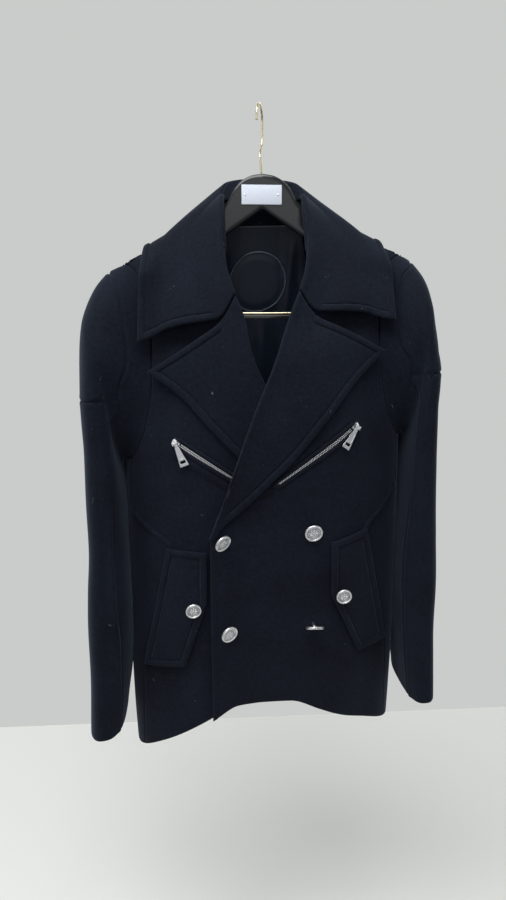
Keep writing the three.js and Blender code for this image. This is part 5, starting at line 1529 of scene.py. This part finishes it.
BAR_HEIGHT, BAR_HALF, BAR_BEND, BAR_TOP = -279, 146, 14, 43
low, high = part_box("hanger_bar")
depth = 1000 * (low[1] + high[1]) / 2
bend = [
    (BAR_HALF - BAR_BEND * (1 - sine(turn)), BAR_HEIGHT + BAR_BEND * (1 - cosine(turn)))
    for turn in np.linspace(0, 90, 9)
]
right_end, left_end = (
    float(hang(points(x, 0, shoulder_height(x) - BAR_TOP))[2]) for x in (-BAR_HALF, BAR_HALF)
)
half_bar = [(BAR_HALF, left_end), *bend[::-1], (40, BAR_HEIGHT), (0, BAR_HEIGHT)]
other_half = [(-x, z) for x, z in bend] + [(-BAR_HALF, right_end)]
bar = [(x + SHIFT, depth, z) for x, z in [*half_bar, (-40, BAR_HEIGHT), *other_half]]
made = tube("bar_wire", bar, BAR_WIRE / 2, 16)
belongs(made, "coat", "hook_gold", gold, "hanger_bar")
print("hook wire", HOOK_WIRE, "mm, bar wire", BAR_WIRE, "mm")

# %% [markdown]
# ## Clamp bar and plate
#
# A lacquered bar holds the coat's back, and a bare card plate is pinned on in front. Both are
# plain boxes, but no moulded or cut edge is quite sharp: a small bevel gives each edge the
# thin highlight that makes it look solid. The pins are flattened balls.

# %% Clamp bar and plate
PIN_RADIUS, PIN_FLATNESS, PIN_INSET = 0.0013, 0.6, 0.005  # metres, a share, metres


def rounded(bm, edges, width, segments=2):
    """Rounds edges over with a bevel."""
    bmesh.ops.bevel(
        bm, geom=edges, offset=width, offset_type="OFFSET", segments=segments,
        profile=0.5, affect="EDGES", material=-1,
    )


def block(name, cad, bevel):
    """A box of the CAD node's size with edges rounded by so many millimetres."""
    low, high = (Vector(corner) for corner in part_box(cad))
    bm = bmesh.new()
    bmesh.ops.create_cube(bm, size=1)
    bmesh.ops.scale(bm, vec=high - low, verts=bm.verts)
    bmesh.ops.translate(bm, vec=(high + low) / 2, verts=bm.verts)
    rounded(bm, bm.edges, bevel / 1000, 3)
    return from_bmesh(name, bm)


made = block("clamp_bar", "hanger_clamp_bar", 1.6)
belongs(made, "coat", "hanger_lacquer", lacquer, "hanger_clamp_bar")
made = block("plate", "hanger_plate", 0.35)
belongs(made, "coat", "plate_card", card, "hanger_plate")
low, high = (Vector(corner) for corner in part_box("hanger_plate"))
for name, x in (("plate_pin_right", low.x + PIN_INSET), ("plate_pin_left", high.x - PIN_INSET)):
    bm = bmesh.new()
    bmesh.ops.create_uvsphere(bm, u_segments=20, v_segments=10, radius=PIN_RADIUS)
    bmesh.ops.scale(bm, vec=(1, PIN_FLATNESS, 1), verts=bm.verts)
    bmesh.ops.translate(bm, vec=(x, low.y, (low.z + high.z) / 2), verts=bm.verts)
    belongs(from_bmesh(name, bm), "coat", "silver_metal", nickel)
print("plate", [round(1000 * side, 1) for side in high - low], "mm")

# %% [markdown]
# ## A frame on the cloth
#
# Zips and buttons are sewn on, so they have to stand on the cloth wherever it leans. A
# Shrinkwrap modifier could press them to it, but would bend the metal. Instead a matrix is
# worked out from the form: x runs along the cloth to a second place, and z straight out.

# %% A frame on the cloth
def outside(side, x, z, lift):
    """A place on the outside of the coat once it is hung."""
    p = on_front(x, z, front_lift(side, x, z) + lift)
    return hang(points(side * p[..., 0], p[..., 1], p[..., 2]))


def seat(side, x, z, lift, towards):
    """A frame on the cloth: x towards a second place, z straight out of the cloth."""
    origin = outside(side, x, z, lift)
    across = outside(side, x + 2, z, lift) - outside(side, x - 2, z, lift)
    up = outside(side, x, z + 2, lift) - outside(side, x, z - 2, lift)
    out = unit(np.cross(across, up) * side)
    along = outside(side, *towards, lift) - origin
    along = unit(along - out * (along @ out))
    frame_matrix = np.eye(4)
    frame_matrix[:3, 0], frame_matrix[:3, 1] = along, np.cross(out, along)
    frame_matrix[:3, 2], frame_matrix[:3, 3] = out, origin
    return Matrix(frame_matrix.tolist())


def placed(bm, matrix):
    """Moves a shape made in millimetres to its frame, in metres."""
    bmesh.ops.transform(bm, matrix=Matrix.Scale(0.001, 4) @ matrix, verts=bm.verts)


def bevelled_box(bm, size, centre, bevel=0.3):
    """Adds a box with rounded edges."""
    made = bmesh.ops.create_cube(bm, size=1)["verts"]
    bmesh.ops.scale(bm, vec=size, verts=made)
    bmesh.ops.translate(bm, vec=centre, verts=made)
    edges = list({edge for vert in made for edge in vert.link_edges})
    rounded(bm, edges, bevel)


chest = seat(1, 60, -400, 0, (60, -420))
print("out of the left chest:", [round(part, 2) for part in chest.col[2].to_3d()])

# %% [markdown]
# ## Zip lips and tapes
#
# Each chest zip lies in a slot between two soft lips of folded cloth, which close over it
# towards both ends. They could be cut from the front by a boolean, but a lip is a roll of
# cloth of its own. Each is a narrow grid along the zip's line, bowed like a half pipe, and a
# flat black tape fills the floor between them.

# %% Zip lips and tapes
ZIP_REST = 0.45
LIP = {"offset": 5.4, "half": 2.4, "height": 2.3, "thick": 0.8, "roll": 0.6, "rest": 0.4}
TAPE = {"half": 5.5, "lift": 0.2, "thick": 0.3, "roll": 0.4}


def beside_zip(side, t, offset, lift):
    """Points along the zip, moved sideways over the cloth and lifted off it."""
    (x0, z0), (x1, z1) = ZIPS[side]
    length = math.hypot(x1 - x0, z1 - z0)
    x = lerp(x0, x1, t) + offset * (z1 - z0) / length
    z = lerp(z0, z1, t) - offset * (x1 - x0) / length
    return on_front(x, z, front_lift(side, x, z) + lift)


def sewn_strip(name, p, thickness, roll, material):
    """A strip of cloth along the zip, with its outer face turned to the front."""
    middle_out = grid_normals(p)[p.shape[0] // 2, p.shape[1] // 2]
    p = p[::-1] if middle_out[1] > 0 else p
    strip = cloth(name, p, thickness, roll=roll)
    belongs(strip, "coat", "melton_wool", material)
    return strip


bow = np.linspace(-1, 1, 15)[None, :]
t = np.linspace(-0.06, 1.05, 90)[:, None]
closing = smooth(-0.06, 0.03, t) * (1 - smooth(0.97, 1.05, t)) * (1 - 0.4 * smooth(0.25, 0.95, t))
for side, hand in HANDS:
    for name, s in (("upper", -1), ("lower", 1)):
        offset = s * lerp(LIP["half"], LIP["offset"], closing) + LIP["half"] * bow
        lift = LIP["rest"] + LIP["height"] * np.sqrt(1 - bow**2) * (0.35 + 0.65 * closing)
        p = mirrored(side, beside_zip(side, t, offset, lift))
        sewn_strip(f"zip_lip_{name}_{hand}", p, LIP["thick"], LIP["roll"], melton)
    p = mirrored(side, beside_zip(side, t, TAPE["half"] * bow, TAPE["lift"]))
    sewn_strip(f"zip_tape_{hand}", p, TAPE["thick"], TAPE["roll"], tape)
    declare(bpy.data.objects[f"front_{hand}_cloth"])

# %% [markdown]
# ## Zip teeth
#
# The teeth are small nickel blocks clamped to the tape in two rows that mesh. An Array modifier
# on a curve would repeat one block, but its twist is hard to hold on leaning cloth. A loop
# places each block by the zip's own line, and slims them towards the inner end.

# %% Zip teeth
TOOTH = {
    "pitch": 2.3, "length": 1.6, "width": 1.5, "height": 1.5, "offset": 1.25, "lift": 0.3,
    "bevel": 0.25, "first": 6.5, "slimmer": 0.45,
}
AHEAD = 0.005  # how far along the zip the direction is looked up
for side, hand in HANDS:
    length = math.dist(*ZIPS[side])
    bm = bmesh.new()
    count = 2 * int((length - 7) / TOOTH["pitch"])
    for index in range(count):
        t = min((TOOTH["first"] + index * TOOTH["pitch"] / 2) / length, 0.995)
        s = 1 if index % 2 else -1
        slim = 1 - TOOTH["slimmer"] * float(smooth(0.25, 1, t))
        aside, lift = np.array(s * slim * TOOTH["offset"]), np.array(ZIP_REST + TOOTH["lift"])
        at, ahead = (
            hang(beside_zip(side, np.array(place), aside, lift) * (side, 1, 1))
            for place in (t, t + AHEAD)
        )
        way = Vector(unit(ahead - at))
        cross = way.cross(Vector((0, -1, 0))).normalized()
        turned = Matrix((way, cross, way.cross(cross))).transposed().to_4x4()
        before = set(bm.verts)
        size = (TOOTH["width"], TOOTH["length"] * slim, TOOTH["height"])
        bevelled_box(bm, size, (0, 0, 0), TOOTH["bevel"])
        fresh = [vert for vert in bm.verts if vert not in before]
        bmesh.ops.transform(bm, matrix=Matrix.Translation(at) @ turned, verts=fresh)
    placed(bm, Matrix())
    bmesh.ops.recalc_face_normals(bm, faces=bm.faces)
    teeth = from_bmesh(f"zip_teeth_{hand}", bm)
    belongs(teeth, "coat", "silver_metal", nickel, f"zip_{hand}")
    print("zip", hand, "has", count, "teeth")

# %% [markdown]
# ## Sliders
#
# A slider is a cast body that narrows towards the joined teeth, with two ears and a pin for
# its pull. Casting leaves no sharp edge, so boxes with a generous bevel give its parts, and
# moving the corners of the body tapers it. The slider keeps its place on the zip.

# %% Sliders
SLIDER = {
    "length": 11, "width": 8, "height": 4.2, "ear": 1.4, "ear_length": 5, "ear_offset": 3.2,
    "ear_top": 9.2, "pin": 1, "pin_height": 6.9, "narrow": 0.72,
}
PULL_LENGTH = 33
PULL_SWING = {1: 34, -1: 21}  # degrees between the hanging pull and a plumb line


def slider_shape(bm):
    """A slider's body, narrower towards the joined teeth, with a rounded back."""
    size = (SLIDER["length"], SLIDER["width"], SLIDER["height"])
    bevelled_box(bm, size, (0, 0, SLIDER["height"] / 2), 1.1)
    for vert in bm.verts:
        vert.co.y *= lerp(1, SLIDER["narrow"], float(smooth(0, SLIDER["length"] / 2, vert.co.x)))


def ears_shape(bm):
    """Two ears that stand on the slider, and the pin between them."""
    rise = SLIDER["ear_top"] - SLIDER["height"] + 1
    for s in (-1, 1):
        centre = (0, s * SLIDER["ear_offset"], SLIDER["ear_top"] - rise / 2)
        bevelled_box(bm, (SLIDER["ear_length"], SLIDER["ear"], rise), centre, 0.45)
    pin = bmesh.ops.create_cone(
        bm, segments=24, radius1=SLIDER["pin"], radius2=SLIDER["pin"],
        depth=2 * SLIDER["ear_offset"] + 2, cap_ends=True,
    )["verts"]
    bmesh.ops.rotate(bm, verts=pin, matrix=Matrix.Rotation(math.pi / 2, 3, "X"))
    bmesh.ops.translate(bm, verts=pin, vec=(0, 0, SLIDER["pin_height"]))


hangs = {}  # the frame in which each pull hangs
for side, hand in HANDS:
    (x0, z0), end = ZIPS[side]
    swing = math.radians(PULL_SWING[side])
    towards = (x0 - math.sin(swing) * PULL_LENGTH, z0 - math.cos(swing) * PULL_LENGTH)
    hangs[hand] = seat(side, x0, z0, ZIP_REST, towards)
    bm = bmesh.new()
    slider_shape(bm)
    placed(bm, seat(side, x0, z0, ZIP_REST, end))
    ears = bmesh.new()
    ears_shape(ears)
    placed(ears, hangs[hand])
    spare = bpy.data.meshes.new("ears")
    ears.to_mesh(spare)
    ears.free()
    bm.from_mesh(spare)
    bpy.data.meshes.remove(spare)
    slider = from_bmesh(f"slider_{hand}", bm)
    belongs(slider, "coat", "silver_metal", nickel, f"zip_slider_{hand}")
    print(slider.name, len(slider.data.polygons), "faces")

# %% [markdown]
# ## Pulls
#
# A pull is a die-cast tab with an eye at its top, a slot near its foot and a sunk face. A
# boolean could cut the slot, but leaves untidy faces, so the tab starts as a grid with three
# cells left out and is extruded. It rides on its own body, so that it can swing on the pin.

# %% Pulls
PULL = {
    "eye": 2.3, "hole": 1.35, "eye_width": 4, "neck": 4.5, "shoulder": 5, "foot": 13,
    "thick": 1.6, "slot_from": 25, "slot_to": 29, "sunk": 0.35, "bevel": 0.22,
}
PULL_TILT, EYE_STEPS = 5.5, 28  # degrees that it leans out of the cloth, and the eye's faces


def pull_shape(bm):
    """A flared tab with a slot near its foot and a sunk face."""
    x_lines = [PULL["neck"], 7.5, 10, 22.5, PULL["slot_from"], PULL["slot_to"], 31, PULL_LENGTH]
    y_lines = [-1, -0.72, -0.5, 0.5, 0.72, 1]

    def half_at(x):
        share = (x - PULL["neck"]) / (PULL_LENGTH - PULL["neck"])
        return lerp(PULL["shoulder"], PULL["foot"], share) / 2

    cells = (len(x_lines) - 1, len(y_lines) - 1)
    bmesh.ops.create_grid(bm, x_segments=cells[0], y_segments=cells[1], size=1)
    for vert in bm.verts:
        i, j = (round((vert.co[axis] + 1) / 2 * cells[axis]) for axis in (0, 1))
        vert.co = (x_lines[i], y_lines[j] * half_at(x_lines[i]), PULL["thick"] / 2)
    slot_middle = (PULL["slot_from"] + PULL["slot_to"]) / 2
    slot = [
        face for face in bm.faces
        if abs(face.calc_center_median().x - slot_middle) < 1
        and abs(face.calc_center_median().y) < 0.72 * half_at(slot_middle)
    ]
    bmesh.ops.delete(bm, geom=slot, context="FACES")
    solid = bmesh.ops.extrude_face_region(bm, geom=list(bm.faces))
    under = [part for part in solid["geom"] if isinstance(part, bmesh.types.BMVert)]
    bmesh.ops.translate(bm, vec=(0, 0, -PULL["thick"]), verts=under)
    bmesh.ops.recalc_face_normals(bm, faces=bm.faces)
    middles = {face: face.calc_center_median() for face in bm.faces if face.normal.z > 0.9}
    sunk = [face for face, at in middles.items() if 9 < at.x < 22 and abs(at.y) < 3]
    bmesh.ops.inset_region(
        bm, faces=sunk, thickness=PULL["sunk"], depth=-PULL["sunk"], use_even_offset=True
    )
    rounded(bm, [edge for edge in bm.edges if edge.calc_face_angle(0) > 1.2], PULL["bevel"])


def eye_shape(bm):
    """A ring for the pin, spun from its section, and the neck that joins it to the tab."""
    half = PULL["eye_width"] / 2
    corners = [(PULL["hole"], -half), (PULL["eye"], -half), (PULL["eye"], half), (PULL["hole"], half)]
    section = [bm.verts.new((r, wide, 0)) for r, wide in corners]
    edges = [bm.edges.new(pair) for pair in zip(section, section[1:] + section[:1])]
    bmesh.ops.spin(
        bm, geom=[*section, *edges], cent=(0, 0, 0), axis=(0, 1, 0), angle=2 * math.pi,
        steps=EYE_STEPS, use_merge=True,
    )
    bevelled_box(bm, (4, PULL["eye_width"], PULL["thick"]), (3.6, 0, 0), 0.25)


for hand, hanging in hangs.items():
    bm = bmesh.new()
    pull_shape(bm)
    eye_shape(bm)
    bmesh.ops.recalc_face_normals(bm, faces=bm.faces)
    tilted = Matrix.Rotation(math.radians(PULL_TILT), 4, "Y")
    placed(bm, hanging @ Matrix.Translation((0, 0, SLIDER["pin_height"])) @ tilted)
    pull = from_bmesh(f"pull_{hand}_tab", bm)
    belongs(pull, f"pull_{hand}", "silver_metal", nickel, f"zip_pull_{hand}")
    print(pull.name, len(pull.data.polygons), "faces, on its own body")

# %% [markdown]
# ## Buttons
#
# Each button is a cast disc with a raised rim, a rope edge and a rosette of eight petals, on a
# shank. A spin would give the rim, but not the rope and the petals, which change on the way
# round, so the face is a grid of rings whose heights come from one function. Heavy buttons
# droop on their threads, some more than others.

# %% The shape of a button
BUTTONS = {  # side, x, z, radius, droop and turn in degrees
    "button_upper_right": (1, -61, -576, 12.5, 22, 38),
    "button_upper_left": (1, 59.5, -576, 12.5, 14, 4),
    "button_lower_right": (1, -54, -709, 12.5, 14, 30),
    "button_lower_left": (1, 62.5, -711, 12.5, 66, 0),
    "flap_button_right": (-1, 101.5, -673, 11, 9, 8),
    "flap_button_left": (1, 99, -671, 11, 9, 4),
}
BUTTON_HEIGHT, BUTTON_CLEARANCE, SHANK, PETALS, ROPE_STRANDS = 7, 2, 2.2, 8, 24
FACE_RINGS = (0.002, *np.linspace(0.05, 0.96, 34), 0.985, 1)
UNDERSIDE = ((1, 0.5), (1, -0.4), (0.985, -1), (0.93, -1.5), (0.5, -1.6), (0.002, -1.6))


def button_face(radius, turn, size):
    """Height of the face: a rope edge, a rim, a flat ring and a rosette in the middle."""
    r = radius / size
    rim = 1.3 * smooth(0.76, 0.81, r) * (1 - smooth(0.95, 1.0, r))
    rope = 0.3 * smooth(0.78, 0.84, r) * (1 - smooth(0.92, 0.98, r)) * np.cos(ROPE_STRANDS * turn)
    inner = 0.6 * hill(r - 0.65, 0.035)
    petal = np.abs(np.cos(PETALS / 2 * turn)) * smooth(0.1, 0.22, r) * (1 - smooth(0.4, 0.56, r))
    boss = 1.1 * (1 - smooth(0.05, 0.14, r))
    return 0.5 + rim + rope + inner + petal + boss


def button_shape(size):
    """A closed disc in its own frame, its face towards z."""
    turn = np.linspace(0, 2 * np.pi, 97)[None, :]
    r = size * np.array(FACE_RINGS)[:, None]
    face = points(r * np.cos(turn), r * np.sin(turn), button_face(r, turn, size))
    r, z = np.array(UNDERSIDE).T[..., None]
    under = points(size * r * np.cos(turn), size * r * np.sin(turn), z + 0 * turn)
    return np.concatenate([face, under])


print("buttons:", len(BUTTONS), "with", PETALS, "petals each")

# %% Buttons
for name, (side, x, z, size, droop, turn) in BUTTONS.items():
    lift = 0.3 + (LEAF_REST + FLAP_LOOSE if "flap" in name else 0)
    ground = seat(side, x, z, lift, (x, z - 10))
    out, foot = ground.col[2].to_3d(), ground.col[3].to_3d()
    flat = cosine(droop)
    face = Vector((sine(turn) * flat, -cosine(turn) * flat, -sine(droop)))
    height = max(BUTTON_HEIGHT, size * math.sin(face.angle(out)) + BUTTON_CLEARANCE)
    turned = face.to_track_quat("Z", "Y").to_matrix()
    shape = button_shape(size)
    on_face = np.arange(len(shape))[:, None] < len(FACE_RINGS)
    # Low "raised" values give the pewter its painted shade in the hollows of the relief.
    raised = np.where(on_face, smooth(0.5, 1.2, shape[..., 2]), 0.8)
    disc = (shape @ np.array(turned).T + np.array(foot + out * height))[::-1]
    values = {"raised": raised[::-1]}
    made = grid_object(name + "_disc", disc, closed=True, fill=True, values=values)
    belongs(made, "coat", "silver_metal", pewter, name)
    stem = [tuple(foot + out * height * share) for share in (0, 0.3, 0.6, 0.95)]
    belongs(tube(name + "_shank", stem, SHANK, 16), "coat", "silver_metal", pewter)
    print(name, 2 * size, "mm across")
